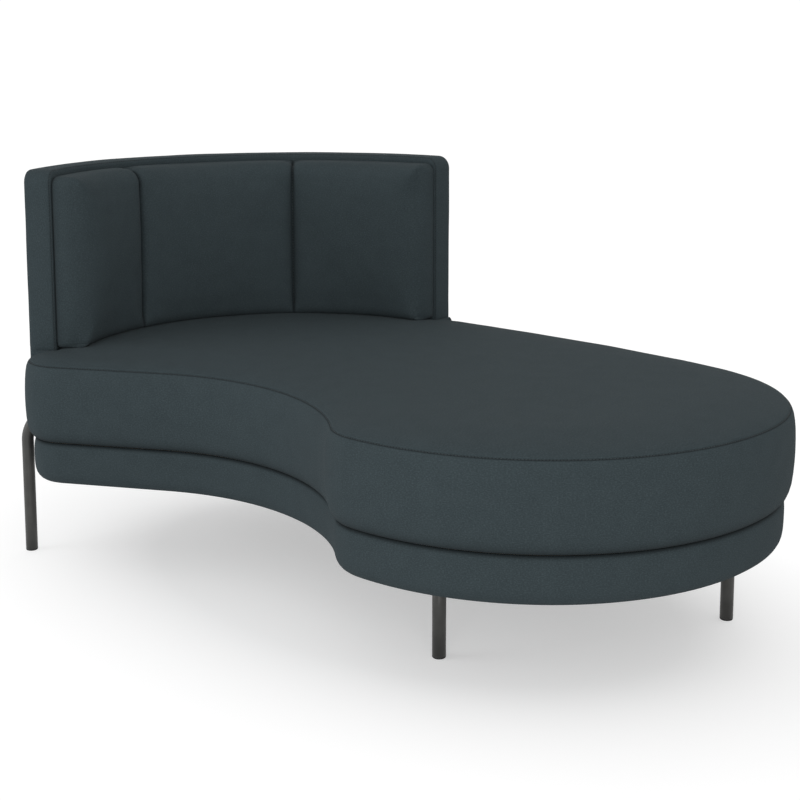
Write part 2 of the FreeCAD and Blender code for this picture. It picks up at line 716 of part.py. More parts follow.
# Glides: a foot under each tube with a plug inside it
for name, angle in (("front", None), ("end", None), ("rear", rear_leg_angle), ("side", side_leg_angle)):
    foot = ring_body(name + "_leg_glide", zero, glide, tube_radius)
    # The plug has flats, so that it can be driven into the tube.
    plug = polygon_sketch(foot, name + "_plug", glide, 8, bore_radius - size("plug_clearance"))
    pad(foot, plug, size("glide_plug"), "Plug")
    set_place(foot, *(leg_places[name] if angle is None else polar(leg_circle, angle)))
    keep(foot)

# Padded cover of the back, hollow over its frame, with room for the rear legs and their flanges
centre = Vec(head_x.number, head_y.number, 0)
shell = new_body("back_outer_form")
corner_round = size("back_corner_radius")
edge_round = size("back_edge_radius")
shell_rows = [(deck_top, zero, zero)]
shell_rows.append((back_top - corner_round, zero, zero))
for turn in (0, 45, 82):
    depth = edge_round * (1 - math.sin(math.radians(turn)))
    drawn = corner_round - root(corner_round * corner_round
                                - (corner_round - depth) * (corner_round - depth))
    shell_rows.append((back_top - depth, drawn, edge_round * (1 - math.cos(math.radians(turn)))))
shell_rows[-1] = (back_top,) + shell_rows[-1][1:]
sketches = []
for number, (level, drawn, slimmer) in enumerate(shell_rows):
    side_turn = degrees_along(drawn, back_outside)
    sketches.append(rounded_sector_sketch(
        shell, "shell_row_%d" % number, level, back_inside + slimmer, back_outside - slimmer,
        size("back_start_angle") + side_turn, size("back_stop_angle") - side_turn,
        edge_round - slimmer * 0.8))
loft(shell, sketches)
doc.recompute()
cavity = sector_body("back_cavity", deck_top, skin_height, skin_inside, skin_outside,
                     frame_start, frame_stop)
room = doc.addObject("Part::MultiFuse", "leg_room")
room.Shapes = holes_for_legs
hollow_cover = cut("back_cover_hollow", shell, cavity)
keep(cut("back_cover", hollow_cover, room))


# Back cushion: three panels that swell between two sewn channels, with rounded ends and a
# rolled top. One slice is drawn per row, and drawn in by the row's inset.
def pad_sketch(body, name, level, inset):
    sketch = new_sketch(body, name, level)
    outer = back_inside - size("soft_clearance")
    inner = back_inside - size("pad_thickness") + inset
    edge_round = size("pad_corner_radius")
    margin = degrees_along(size("soft_clearance") + inset * 0.6, back_inside)
    start = size("back_start_angle") + margin
    stop = size("back_stop_angle") - margin
    bend_angle = degrees_along(edge_round, inner)
    bend_reach = inner + edge_round - inset * (edge_round / size("pad_thickness"))
    spots = [
        (outer, start), (outer, stop), (bend_reach, stop), (inner, stop - bend_angle),
        (inner, size("front_channel_angle")), (inner, size("rear_channel_angle")),
        (inner, start + bend_angle), (bend_reach, start),
    ]
    points = [polar(radius, angle) for radius, angle in spots]
    at = [place(point) for point in points]

    outside = sketch.addGeometry(arc_geometry(centre, outer.number, at[0], at[1]), False)
    stop_side = sketch.addGeometry(Part.LineSegment(at[1], at[2]), False)
    pieces = [outside, stop_side]
    radii = []
    panel = size("panel_radius") + inset
    for first, second, radius, hollow in ((2, 3, edge_round, False), (3, 4, panel, True),
                                          (4, 5, panel, True), (5, 6, panel, True),
                                          (6, 7, edge_round, False)):
        a, b = at[first], at[second]
        middle = (a + b) / 2
        inward = (centre - middle).normalize()
        across = Vec(-(b - a).y, (b - a).x, 0).normalize()
        if (across.dot(inward) < 0) == hollow:
            across = across * -1
        # A panel curves about the head side; a rounded end curves about the cushion's inside.
        hub = middle + across * math.sqrt(radius.number ** 2 - ((b - a).Length / 2) ** 2)
        forward = (a - hub).cross(b - hub).z > 0
        first_end, last_end = (a, b) if forward else (b, a)
        pieces.append(sketch.addGeometry(arc_geometry(hub, radius.number, first_end, last_end), False))
        radii.append((pieces[-1], radius, 1 if forward else 2))
    start_side = sketch.addGeometry(Part.LineSegment(at[7], at[0]), False)
    plain = [("Coincident", outside, 2, stop_side, 1), ("Coincident", start_side, 2, outside, 1)]
    previous, leaving = stop_side, 2
    for geometry, radius, entering in radii:
        plain.append(("Coincident", previous, leaving, geometry, entering))
        previous, leaving = geometry, 3 - entering
    plain.append(("Coincident", previous, leaving, start_side, 1))
    driven = [(("Radius", outside), outer),
              (("DistanceX", -1, 1, outside, 1), points[0][0]),
              (("DistanceY", -1, 1, outside, 1), points[0][1]),
              (("DistanceX", -1, 1, outside, 2), points[1][0]),
              (("DistanceY", -1, 1, outside, 2), points[1][1])]
    for number, (geometry, radius, entering) in enumerate(radii, start=2):
        driven.append((("Radius", geometry), radius))
        driven.append((("DistanceX", -1, 1, geometry, entering), points[number][0]))
        driven.append((("DistanceY", -1, 1, geometry, entering), points[number][1]))
    driven.append((("DistanceX", -1, 1, start_side, 1), points[7][0]))
    driven.append((("DistanceY", -1, 1, start_side, 1), points[7][1]))
    add_constraints(sketch, plain, driven)
    return sketch


cushion = new_body("back_cushion")
pad_bottom = seat_top + size("soft_clearance")
pad_top = back_top - size("pad_drop")
roll = size("pad_top_round")
pad_rows = [
    (pad_bottom, roll * 0.30),
    (pad_bottom + roll * 0.35, roll * 0.06),
    (pad_bottom + roll * 0.9, zero),
    (pad_top - roll * 1.15, zero),
    (pad_top - roll * 0.50, roll * 0.14),
    (pad_top - roll * 0.17, roll * 0.46),
    (pad_top, roll),
]
loft(cushion, [pad_sketch(cushion, "panel_row_%d" % number, level, inset)
               for number, (level, inset) in enumerate(pad_rows)])
keep(cushion)

# Check every object, then write one file for each piece
doc.recompute()
failed = [item.Name for item in doc.Objects if "Invalid" in item.State or "Error" in item.State]
if failed:
    raise RuntimeError("failed: " + ", ".join(failed))
os.makedirs("parts", exist_ok=True)
labels = [item.Label for item in made]
if len(labels) != len(set(labels)) or len(labels) > 60:
    raise RuntimeError("labels repeat or there are too many pieces")
for item in made:
    shape = item.Shape
    if shape.isNull() or not shape.isValid() or len(shape.Solids) != 1:
        raise RuntimeError("%s has a bad shape with %d solids" % (item.Label, len(shape.Solids)))
    shape.exportStep("parts/%s.step" % item.Label)
    box = shape.BoundBox
    print("%-20s %9.0f mm3  x %7.1f %7.1f  y %7.1f %7.1f  z %6.1f %6.1f" % (
        item.Label, shape.Volume, box.XMin, box.XMax, box.YMin, box.YMax, box.ZMin, box.ZMax))
print(len(made), "pieces")
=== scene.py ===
import bpy
import bmesh
import json
import math
import numpy as np
from mathutils import Matrix, Vector
from mathutils.geometry import delaunay_2d_cdt
from mathutils.kdtree import KDTree
from mathutils import noise as perlin


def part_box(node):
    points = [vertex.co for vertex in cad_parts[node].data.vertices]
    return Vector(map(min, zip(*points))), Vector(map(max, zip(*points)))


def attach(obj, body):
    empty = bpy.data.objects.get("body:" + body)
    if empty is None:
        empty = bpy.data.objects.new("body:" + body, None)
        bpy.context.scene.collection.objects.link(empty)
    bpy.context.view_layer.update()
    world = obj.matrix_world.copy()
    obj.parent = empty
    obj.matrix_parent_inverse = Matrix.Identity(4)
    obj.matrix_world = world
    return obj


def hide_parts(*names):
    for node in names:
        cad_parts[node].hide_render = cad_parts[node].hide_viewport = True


# Chaise longue: a kidney-shaped seat cushion on an inset padded base, a curved back with a
# channelled cushion, and four slim steel legs. Lengths in metres, in the frame of the solids.

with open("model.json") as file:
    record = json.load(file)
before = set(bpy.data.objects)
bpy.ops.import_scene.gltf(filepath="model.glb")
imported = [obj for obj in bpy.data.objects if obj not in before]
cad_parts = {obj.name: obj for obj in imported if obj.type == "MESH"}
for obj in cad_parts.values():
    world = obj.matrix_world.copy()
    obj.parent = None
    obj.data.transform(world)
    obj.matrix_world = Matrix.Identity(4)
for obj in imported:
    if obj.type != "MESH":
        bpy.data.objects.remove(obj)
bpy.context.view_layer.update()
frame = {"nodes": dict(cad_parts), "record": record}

# ---------------------------------------------------------------- sizes
# Centres and radii of the outline's arcs. HEAD is also the axis of the curved back.
HEAD, HEAD_R = (-0.2187, -0.0993), 0.548
CORNER_R, CORNER_ANGLE = 0.098, 215.93
WAIST_X, HOLLOW_Y, WAIST_R = -0.1242, -0.291, 0.452
SHOULDER_R = 0.117
FRONT, FRONT_R = (0.2713, 0.0546), 0.496
END_Y, END_R = 0.0685, 0.364
REAR_R = 2.886
# Heights of the deck and the seat's seam; start and stop of the back and its channels in degrees.
DECK_TOP, SEAM_Z = 0.275, 0.435
BACK_START, BACK_STOP = 92.5, 214.5
BACK_TOP, BACK_THICK = 0.820, 0.058
BACK_IN = HEAD_R - BACK_THICK
PAD_BOTTOM, PAD_TOP, PAD_THICK = 0.4503, 0.807, 0.068
REAR_CHANNEL, FRONT_CHANNEL = 133.9, 183.4
CLEAR, NOTCH_EASE = 0.0003, 0.04
# Leg bars: radius, distance of their axis from the outline, and place about the head in degrees.
TUBE_R, LEG_OUT, REAR_LEG, SIDE_LEG = 0.0125, 0.0275, 118.0, 210.4
SCREW_IN = 0.012
# Cloth under the base: inset and height of each ring of its hem, from its underside round to its
# upper side, and where its staples sit.
DUST_ROWS = [(0.0640, 0.1862), (0.0600, 0.1861), (0.0585, 0.1857), (0.0560, 0.1856), (0.0470, 0.1857),
             (0.0440, 0.1860), (0.0438, 0.1863), (0.0440, 0.1869), (0.0470, 0.1870), (0.0620, 0.1870)]
DUST_INSET, STAPLE_INSET, STAPLE_LEVEL = 0.0440, 0.0525, 0.1858
# Kinds of runs of the seat's outline.
OPEN, IN_NOTCH, LEAD_IN, LEAD_OUT = range(4)
# Fineness of the outline in metres and degrees, and corners of a field that holds the whole part.
OUTLINE_STEP, CORNER_STEP, LARGEST_TURN = 0.0085, 0.0025, 12
ROUND_ALL = ((-0.8, -0.5), (0.8, 0.5))
SHELL_SEAM_ROWS = (6, 18)
FACE_SHIFT = (0.37, 0.11)    # keeps the weave of a face apart from that of the sides


# ---------------------------------------------------------------- outline of the chaise
def meeting(first, first_reach, second, second_reach, side):
    """Centre at first_reach from one centre and second_reach from the other."""
    first, second = np.array(first), np.array(second)
    span = np.linalg.norm(second - first)
    along = (first_reach ** 2 - second_reach ** 2 + span ** 2) / (2 * span)
    across = math.sqrt(max(first_reach ** 2 - along ** 2, 0.0))
    ahead = (second - first) / span
    return first + ahead * along + np.array([-ahead[1], ahead[0]]) * across * side


def heading(origin, point):
    return math.degrees(math.atan2(point[1] - origin[1], point[0] - origin[0]))


def ray(angle):
    """Unit vector at an angle in degrees."""
    return np.array([math.cos(math.radians(angle)), math.sin(math.radians(angle))])


def kidney_runs():
    """The runs of the outline, counter-clockwise: arcs (centre, radius, from, to), a straight."""
    head = np.array(HEAD)
    corner = head + (HEAD_R - CORNER_R) * ray(CORNER_ANGLE)
    waist = np.array([WAIST_X, HOLLOW_Y - WAIST_R])
    front = np.array(FRONT)
    end_x = FRONT[0] + math.sqrt((FRONT_R - END_R) ** 2 - (END_Y - FRONT[1]) ** 2)
    end = np.array([end_x, END_Y])
    shoulder = meeting(waist, WAIST_R + SHOULDER_R, front, FRONT_R - SHOULDER_R, -1)
    rear = meeting(end, REAR_R - END_R, head, REAR_R - HEAD_R, 1)
    gap = waist - corner
    lean = math.atan2(gap[1], gap[0]) - math.acos((CORNER_R + WAIST_R) / np.linalg.norm(gap))
    lean = math.degrees(lean)
    out = ray(lean)
    a = corner + out * CORNER_R
    b = waist - out * WAIST_R
    to_shoulder = heading(waist, shoulder)
    rear_end = heading(rear, end)
    rear_head = heading(rear, head)
    return {
        "corner": ("arc", corner, CORNER_R, CORNER_ANGLE, lean + 360),
        "straight": ("line", a, b),
        "waist": ("arc", waist, -WAIST_R, lean + 180, to_shoulder),
        "shoulder": ("arc", shoulder, SHOULDER_R, to_shoulder - 180, heading(front, shoulder)),
        "front": ("arc", front, FRONT_R, heading(front, shoulder), heading(front, end)),
        "end": ("arc", end, END_R, heading(front, end), rear_end),
        "rear": ("arc", rear, REAR_R, rear_end, rear_head),
        "head": ("arc", head, HEAD_R, rear_head, CORNER_ANGLE),
    }


def trace(runs, step):
    """Points and outward normals along runs. A negative radius marks a hollow arc. A run may end
    with its kind and then a finer step; kinds has each point's kind and its share of the run."""
    points, normals, kinds = [], [], []
    for run in runs:
        if run[0] == "arc":
            _, centre, radius, start, stop = run[:5]
            finer = run[6] if len(run) > 6 else step
            count = max(2, round(abs(radius * math.radians(stop - start)) / finer))
            count = max(count, math.ceil(abs(stop - start) / LARGEST_TURN))
            for k in range(count):
                out = ray(start + (stop - start) * k / count)
                points.append(np.array(centre) + out * abs(radius))
                normals.append(out * (1 if radius > 0 else -1))
                kinds.append((run[5] if len(run) > 5 else OPEN, k / count))
        else:
            _, a, b = run[:3]
            length = np.linalg.norm(b - a)
            ahead = (b - a) / length
            count = max(2, round(length / step))
            for k in range(count):
                points.append(a + (b - a) * k / count)
                normals.append(np.array([ahead[1], -ahead[0]]))
                kinds.append((run[3] if len(run) > 3 else OPEN, k / count))
    return np.array(points), np.array(normals), kinds


RUNS = kidney_runs()
KIDNEY = list(RUNS.values())
outline_points, outline_normals, _ = trace(KIDNEY, 0.006)


def depth_inside(points):
    """Distance of points from the kidney outline."""
    out = np.empty(len(points))
    for first in range(0, len(points), 2000):
        part = points[first:first + 2000]
        out[first:first + 2000] = np.sqrt(
            ((part[:, None, :] - outline_points[None, :, :]) ** 2).sum(-1).min(1))
    return out


def inside(points, loop):
    """Which points lie inside a closed loop."""
    x, y = points[:, 0], points[:, 1]
    result = np.zeros(len(points), bool)
    for a, b in zip(loop, np.roll(loop, -1, axis=0)):
        if a[1] == b[1]:
            continue
        crosses = (a[1] > y) != (b[1] > y)
        result ^= crosses & (x < (b[0] - a[0]) * (y - a[1]) / (b[1] - a[1]) + a[0])
    return result


def reach_from(points, loop):
    """Distance of points from the sides of a closed loop."""
    best = np.full(len(points), 1e9)
    for a, b in zip(loop, np.roll(loop, -1, axis=0)):
        side = b - a
        t = np.clip(((points - a) @ side) / max(side @ side, 1e-12), 0, 1)
        best = np.minimum(best, np.linalg.norm(points - (a + t[:, None] * side), axis=1))
    return best


def lengths(loop):
    """Length along a closed loop up to each of its points, and round to the first again."""
    return np.concatenate([[0], np.cumsum(np.linalg.norm(np.roll(loop, -1, axis=0) - loop, axis=1))])


def polar(co):
    """Distance from the back's axis and angle about it, in degrees."""
    x, y = co[0] - HEAD[0], co[1] - HEAD[1]
    return math.hypot(x, y), math.degrees(math.atan2(y, x)) % 360


def from_channel(turn):
    """Distance along the back from an angle to the nearer channel."""
    return math.radians(min(abs(turn - REAR_CHANNEL), abs(turn - FRONT_CHANNEL))) * BACK_IN


# ---------------------------------------------------------------- meshes
def into_scene(name, data):
    """An object with the given data, put into the scene."""
    thing = bpy.data.objects.new(name, data)
    bpy.context.scene.collection.objects.link(thing)
    return thing


def give(thing, **values):
    """Sets several properties of one thing."""
    for key, value in values.items():
        setattr(thing, key, value)
    return thing


def new_piece(name, verts, faces, uvs=None):
    """A mesh object with smooth faces, and a UV map in metres where one is given per corner."""
    mesh = bpy.data.meshes.new(name)
    mesh.from_pydata([tuple(v) for v in verts], [], [tuple(f) for f in faces])
    mesh.update()
    if uvs is not None:
        layer = mesh.uv_layers.new(name="cloth")
        layer.data.foreach_set("uv", np.array(uvs, dtype=np.float32).ravel())
    mesh.polygons.foreach_set("use_smooth", [True] * len(mesh.polygons))
    return into_scene(name, mesh)


def outward(piece):
    """Turns the faces of a closed piece outwards."""
    work = bmesh.new()
    work.from_mesh(piece.data)
    bmesh.ops.recalc_face_normals(work, faces=work.faces)
    work.to_mesh(piece.data)
    work.free()
    piece.data.update()
    return piece


def ring_faces(rings, count):
    """Four-sided faces between rings of count points each."""
    return [(r * count + k, r * count + (k + 1) % count,
             (r + 1) * count + (k + 1) % count, (r + 1) * count + k)
            for r in range(rings - 1) for k in range(count)]


def end_faces(rings, count):
    """The faces that close the first and the last ring."""
    return [tuple(reversed(range(count))), tuple(range((rings - 1) * count, rings * count))]


def fill_inside(loop, extra):
    """Triangles that fill a loop, through the extra points inside it."""
    verts = [Vector((float(x), float(y))) for x, y in np.vstack([loop, extra])]
    result = delaunay_2d_cdt(verts, [], [list(range(len(loop)))], 1, 1e-7)
    back = [origin[0] if origin else -1 for origin in result[3]]
    faces = [[back[k] for k in face] for face in result[2]]
    return [face for face in faces if min(face) >= 0 and len(set(face)) == len(face)]


def slab(name, loop, normals, rows, top_points, top_height, bottom_points, bottom_height, place):
    """A closed padded form. Each row gives the inset and height of every loop point, from the
    lower face over the side to the upper face; both faces are then filled. place turns a point
    of the loop's plane and a height into a place in the part. Returns the piece and the number
    of points in a row."""
    count, rings = len(loop), len(rows)
    run = lengths(loop)
    flat, high, climbs = [], [], []
    climb, previous = np.zeros(count), None
    for inset, height in rows:
        spots = loop - normals * inset[:, None]
        if previous is not None:
            climb = climb + np.sqrt(((spots - previous[0]) ** 2).sum(1) + (height - previous[1]) ** 2)
        previous = (spots, height)
        flat.append(spots)
        high.append(height)
        climbs.append(climb)
    faces, uvs = ring_faces(rings, count), []
    for low, up in zip(climbs, climbs[1:]):
        for k in range(count):
            n = (k + 1) % count
            uvs += [(run[k], low[k]), (run[k + 1], low[n]), (run[k + 1], up[n]), (run[k], up[k])]
    start = rings * count
    flat, high = np.vstack(flat), np.concatenate(high)
    for ring, extra, height in ((rings - 1, top_points, top_height), (0, bottom_points, bottom_height)):
        edge = flat[ring * count:(ring + 1) * count]
        both = np.vstack([edge, extra])
        index = [*range(ring * count, (ring + 1) * count), *range(start, start + len(extra))]
        for face in fill_inside(edge, extra):
            faces.append([index[k] for k in face])
            uvs += [(both[k][0] + FACE_SHIFT[0], both[k][1] + FACE_SHIFT[1]) for k in face]
        flat, high = np.vstack([flat, extra]), np.concatenate([high, height])
        start += len(extra)
    verts = [place(u, v, h) for (u, v), h in zip(flat, high)]
    return outward(new_piece(name, verts, faces, uvs)), count


def grid_points(low, high, step, keep):
    """Points of a grid of near-equilateral triangles, where keep allows them."""
    xs = np.arange(low[0], high[0] + step, step)
    ys = np.arange(low[1], high[1] + step * 0.866, step * 0.866)
    points = np.array([(x + (step / 2 if row % 2 else 0), y) for row, y in enumerate(ys) for x in xs])
    return points[keep(points)]


def smooth_step(t):
    t = np.clip(t, 0, 1)
    return t * t * (3 - 2 * t)


# ---------------------------------------------------------------- soft simulation
def points_of(mesh):
    """The places of a mesh's points."""
    values = np.empty(len(mesh.vertices) * 3, np.float32)
    mesh.vertices.foreach_get("co", values)
    return values.reshape(-1, 3)


def puff(piece, voxel, pressure, cap, pinned, evened):
    """Fills a coarse copy of the piece with air as cloth, and gives the piece the swelling.
    pinned(co) is 1 where the cover is held and 0 where it is free. cap is the most that it
    may swell. evened is how often the swelling is averaged over its neighbours, so that
    foam under the cover keeps it smooth."""
    stiffness, frames, near_count = 15.0, 20, 6
    copy = into_scene("puff_work", piece.data.copy())
    give(copy.modifiers.new("Remesh", "REMESH"), mode="VOXEL", voxel_size=voxel)
    view = bpy.context.evaluated_depsgraph_get()
    fresh = bpy.data.meshes.new_from_object(copy.evaluated_get(view))
    copy.modifiers.clear()
    copy.data = fresh
    rest = points_of(fresh)
    count = len(rest)
    group = copy.vertex_groups.new(name="held")
    for index, co in enumerate(rest):
        weight = float(pinned(co))
        if weight > 0.01:
            group.add([index], weight, "REPLACE")
    cloth = copy.modifiers.new("Cloth", "CLOTH")
    give(cloth.settings, quality=5, mass=0.3, tension_stiffness=stiffness,
         compression_stiffness=stiffness, shear_stiffness=stiffness * 0.5, bending_stiffness=0.5,
         use_pressure=True, uniform_pressure_force=pressure, vertex_group_mass="held")
    cloth.settings.effector_weights.gravity = 0
    give(cloth.collision_settings, use_collision=False, use_self_collision=False)
    give(cloth.point_cache, frame_start=1, frame_end=frames)
    scene = bpy.context.scene
    for number in range(1, frames + 1):
        scene.frame_set(number)
    view = bpy.context.evaluated_depsgraph_get()
    shift = points_of(copy.evaluated_get(view).data) - rest
    scene.frame_set(1)
    copy.modifiers.clear()
    bpy.data.objects.remove(copy)
    size = np.linalg.norm(shift, axis=1)
    shift *= (np.minimum(size, cap) / np.maximum(size, 1e-9))[:, None]
    ends = np.empty(len(fresh.edges) * 2, np.int32)
    fresh.edges.foreach_get("vertices", ends)
    ends = ends.reshape(-1, 2)
    here, there = np.concatenate([ends, ends[:, ::-1]]).T
    degree = np.maximum(np.bincount(here, minlength=count)[:, None], 1)
    for _ in range(evened):
        around = np.stack([np.bincount(here, shift[there, axis], count) for axis in range(3)], 1)
        shift = 0.4 * shift + 0.6 * around / degree
    tree = KDTree(count)
    for index, co in enumerate(rest):
        tree.insert(co, index)
    tree.balance()
    for vertex in piece.data.vertices:
        near = tree.find_n(vertex.co, near_count)
        weight = np.array([1.0 / (item[2] + voxel * 0.3) ** 2 for item in near])
        step = (shift[[item[1] for item in near]] * weight[:, None]).sum(0) / weight.sum()
        vertex.co += Vector([float(v) for v in step])
    piece.data.update()


def uneven(piece, amount, reach, hold):
    """Slow, shallow unevenness of foam under its cover, none where hold is 1."""
    mesh = piece.data
    normals = [vertex.normal.copy() for vertex in mesh.vertices]
    for vertex, normal in zip(mesh.vertices, normals):
        wave = perlin.noise(vertex.co / reach)
        wave += 0.4 * perlin.noise(vertex.co * 2.3 / reach + Vector((3, 5, 7)))
        vertex.co += normal * (amount * wave * (1 - hold(vertex.co)))
    mesh.update()


def mark_painted_shade(piece, depth):
    """Keeps, per point, how much painted shade its cloth gets (0 to 1): darkening that stands in for
    the shade in a seam, channel or gap.
    """
    values = [float(min(max(depth(index, vertex.co), 0.0), 1.0))
              for index, vertex in enumerate(piece.data.vertices)]
    layer = piece.data.attributes.new("painted_shade", "FLOAT", "POINT")
    layer.data.foreach_set("value", values)


def path_piece(name, points, closed=False):
    """A path through points, or only the points where closed is None."""
    mesh = bpy.data.meshes.new(name)
    edges = [] if closed is None else [(k, k + 1) for k in range(len(points) - 1)]
    mesh.from_pydata([tuple(p) for p in points], edges + [(len(points) - 1, 0)] * bool(closed), [])
    return into_scene(name, mesh)


def lifted(piece, indices, by):
    """Places a little above a piece's surface, at some of its points."""
    return [piece.data.vertices[k].co + piece.data.vertices[k].normal * by for k in indices]


def add(tree, kind, inputs=None, **settings):
    """A node with its settings. inputs has a value or another node's output per socket."""
    node = give(tree.nodes.new(kind), **settings)
    for key, value in (inputs or {}).items():
        if isinstance(value, bpy.types.NodeSocket):
            tree.links.new(value, node.inputs[key])
        else:
            node.inputs[key].default_value = value
    return node


def math_node(tree, operation, first, second=None, clamp=False):
    inputs = {0: first} if second is None else {0: first, 1: second}
    return add(tree, "ShaderNodeMath", inputs, operation=operation, use_clamp=clamp).outputs[0]


def open_group(name, kind, inputs, outputs):
    """A node group with its sockets, and what comes in and goes out of it."""
    group = bpy.data.node_groups.new(name, kind)
    for label, socket, value in inputs:
        item = group.interface.new_socket(name=label, in_out="INPUT",
                                          socket_type="NodeSocket" + socket)
        if value is not None:
            item.default_value = value
    for label, socket in outputs:
        group.interface.new_socket(name=label, in_out="OUTPUT", socket_type="NodeSocket" + socket)
    return group, add(group, "NodeGroupInput").outputs, add(group, "NodeGroupOutput").inputs


def row_tree(along_path):
    """Geometry nodes that set one item along a path, or on each point."""
    tree, source, target = open_group(
        "items_along" if along_path else "items_on", "GeometryNodeTree",
        (("Geometry", "Geometry", None), ("Item", "Object", None), ("Pace", "Float", 0.01),
         ("Size Spread", "Float", 0.08), ("Turn Spread", "Float", 0.05), ("Seed", "Int", 11),
         ("Finish", "Material", None)), (("Geometry", "Geometry"),))
    turn_spread, size_spread, seed = (source[k] for k in ("Turn Spread", "Size Spread", "Seed"))
    spin = add(tree, "FunctionNodeRandomValue", data_type="FLOAT", inputs={
        2: math_node(tree, "MULTIPLY", turn_spread, -1.0), 3: turn_spread, "Seed": seed})
    about = add(tree, "ShaderNodeCombineXYZ", {"Z": spin.outputs[1]})
    twist = add(tree, "FunctionNodeEulerToRotation", {0: about.outputs[0]})
    if along_path:
        curve = add(tree, "GeometryNodeMeshToCurve", {0: source["Geometry"]})
        spots = add(tree, "GeometryNodeCurveToPoints", mode="LENGTH", inputs={
            "Curve": curve.outputs[0], "Length": source["Pace"]})
        ahead = add(tree, "FunctionNodeAlignRotationToVector", axis="X", inputs={
            "Vector": spots.outputs["Tangent"]})
        upright = add(tree, "FunctionNodeAlignRotationToVector", axis="Z", pivot_axis="X", inputs={
            "Vector": (0, 0, 1), "Rotation": ahead.outputs[0]})
        twist = add(tree, "FunctionNodeRotateRotation", rotation_space="LOCAL", inputs={
            0: upright.outputs[0], 1: twist.outputs[0]})
    else:
        spots = add(tree, "GeometryNodeMeshToPoints", {0: source["Geometry"]})
    grow = add(tree, "FunctionNodeRandomValue", data_type="FLOAT", inputs={
        2: math_node(tree, "SUBTRACT", 1.0, size_spread),
        3: math_node(tree, "ADD", 1.0, size_spread), "Seed": seed})
    item = add(tree, "GeometryNodeObjectInfo", {"Object": source["Item"]})
    on = add(tree, "GeometryNodeInstanceOnPoints", {
        "Points": spots.outputs[0], "Instance": item.outputs["Geometry"],
        "Rotation": twist.outputs[0], "Scale": grow.outputs[1]})
    real = add(tree, "GeometryNodeRealizeInstances", {0: on.outputs[0]})
    finish = add(tree, "GeometryNodeSetMaterial", {
        "Geometry": real.outputs[0], "Material": source["Finish"]})
    tree.links.new(finish.outputs[0], target[0])
    return tree


def lay_items(piece, tree, item, material, slot_name, **values):
    """Runs the tree on a path or on points, and keeps the result as a plain mesh."""
    step = give(piece.modifiers.new("items", "NODES"), node_group=tree)
    wanted = {"Item": item, "Finish": material}
    wanted.update({key.replace("_", " "): value for key, value in values.items()})
    for socket in tree.interface.items_tree:
        if socket.in_out == "INPUT" and socket.name in wanted:
            step[socket.identifier] = wanted[socket.name]
    view = bpy.context.evaluated_depsgraph_get()
    result = bpy.data.meshes.new_from_object(piece.evaluated_get(view))
    piece.modifiers.clear()
    piece.data = result
    result.polygons.foreach_set("use_smooth", [True] * len(result.polygons))
    return settle(piece, material, slot_name)


def lathe(profile, sides, waves=None):
    """Points and faces of a turned form about Z. waves(ring, turn) may change a ring's radius."""
    verts = []
    for ring, (radius, level) in enumerate(profile):
        for s in range(sides):
            turn = 2 * math.pi * s / sides
            r = radius * (waves(ring, turn) if waves else 1.0)
            verts.append((r * math.cos(turn), r * math.sin(turn), level))
    return verts, ring_faces(len(profile), sides) + end_faces(len(profile), sides)


# ---------------------------------------------------------------- seat cushion
def seat_height(depth):
    """Height of the seat's top, by the distance from the outline: it climbs fast behind the
    seam and then hardly at all."""
    edge, climb, reach, crown = 0.0095, 0.0155, 0.023, 0.0015
    return SEAM_Z + climb * (1 - np.exp(-(depth - edge) / reach)) + crown * np.clip(depth / 0.3, 0, 1)


def seat_runs():
    """The outline with the notch that the back stands in. LEAD_IN and LEAD_OUT are the rounded
    corners between the open outline and the notch."""
    head = np.array(HEAD)
    inner, tight = BACK_IN - CLEAR, 0.003
    hollow = math.degrees(math.asin(tight / (inner + tight)))
    result = KIDNEY[:-1]
    for first, turn, soft in ((True, BACK_START - NOTCH_EASE, 0.014),
                              (False, BACK_STOP + NOTCH_EASE, 0.012)):
        sign = -1 if first else 1
        middle = turn + sign * math.degrees(math.asin(soft / (HEAD_R - soft)))
        round_at = head + ray(middle) * (HEAD_R - soft)
        pocket = turn - sign * hollow
        pocket_at = head + ray(pocket) * (inner + tight)
        far = head + ray(turn) * math.sqrt((HEAD_R - soft) ** 2 - soft ** 2)
        near = head + ray(turn) * math.sqrt((inner + tight) ** 2 - tight ** 2)
        if first:
            result += [("arc", head, HEAD_R, RUNS["head"][3], middle, OPEN),
                       ("arc", round_at, soft, middle, turn + 90, LEAD_IN, CORNER_STEP),
                       ("line", far, near, IN_NOTCH),
                       ("arc", pocket_at, -tight, turn - 90, pocket - 180, IN_NOTCH)]
            start = pocket
        else:
            result += [("arc", head, inner, start, pocket, IN_NOTCH),
                       ("arc", pocket_at, -tight, pocket + 180, turn + 90, IN_NOTCH),
                       ("line", near, far, IN_NOTCH),
                       ("arc", round_at, soft, turn - 90, middle, LEAD_OUT, CORNER_STEP),
                       ("arc", head, HEAD_R, middle, CORNER_ANGLE, OPEN)]
    return result


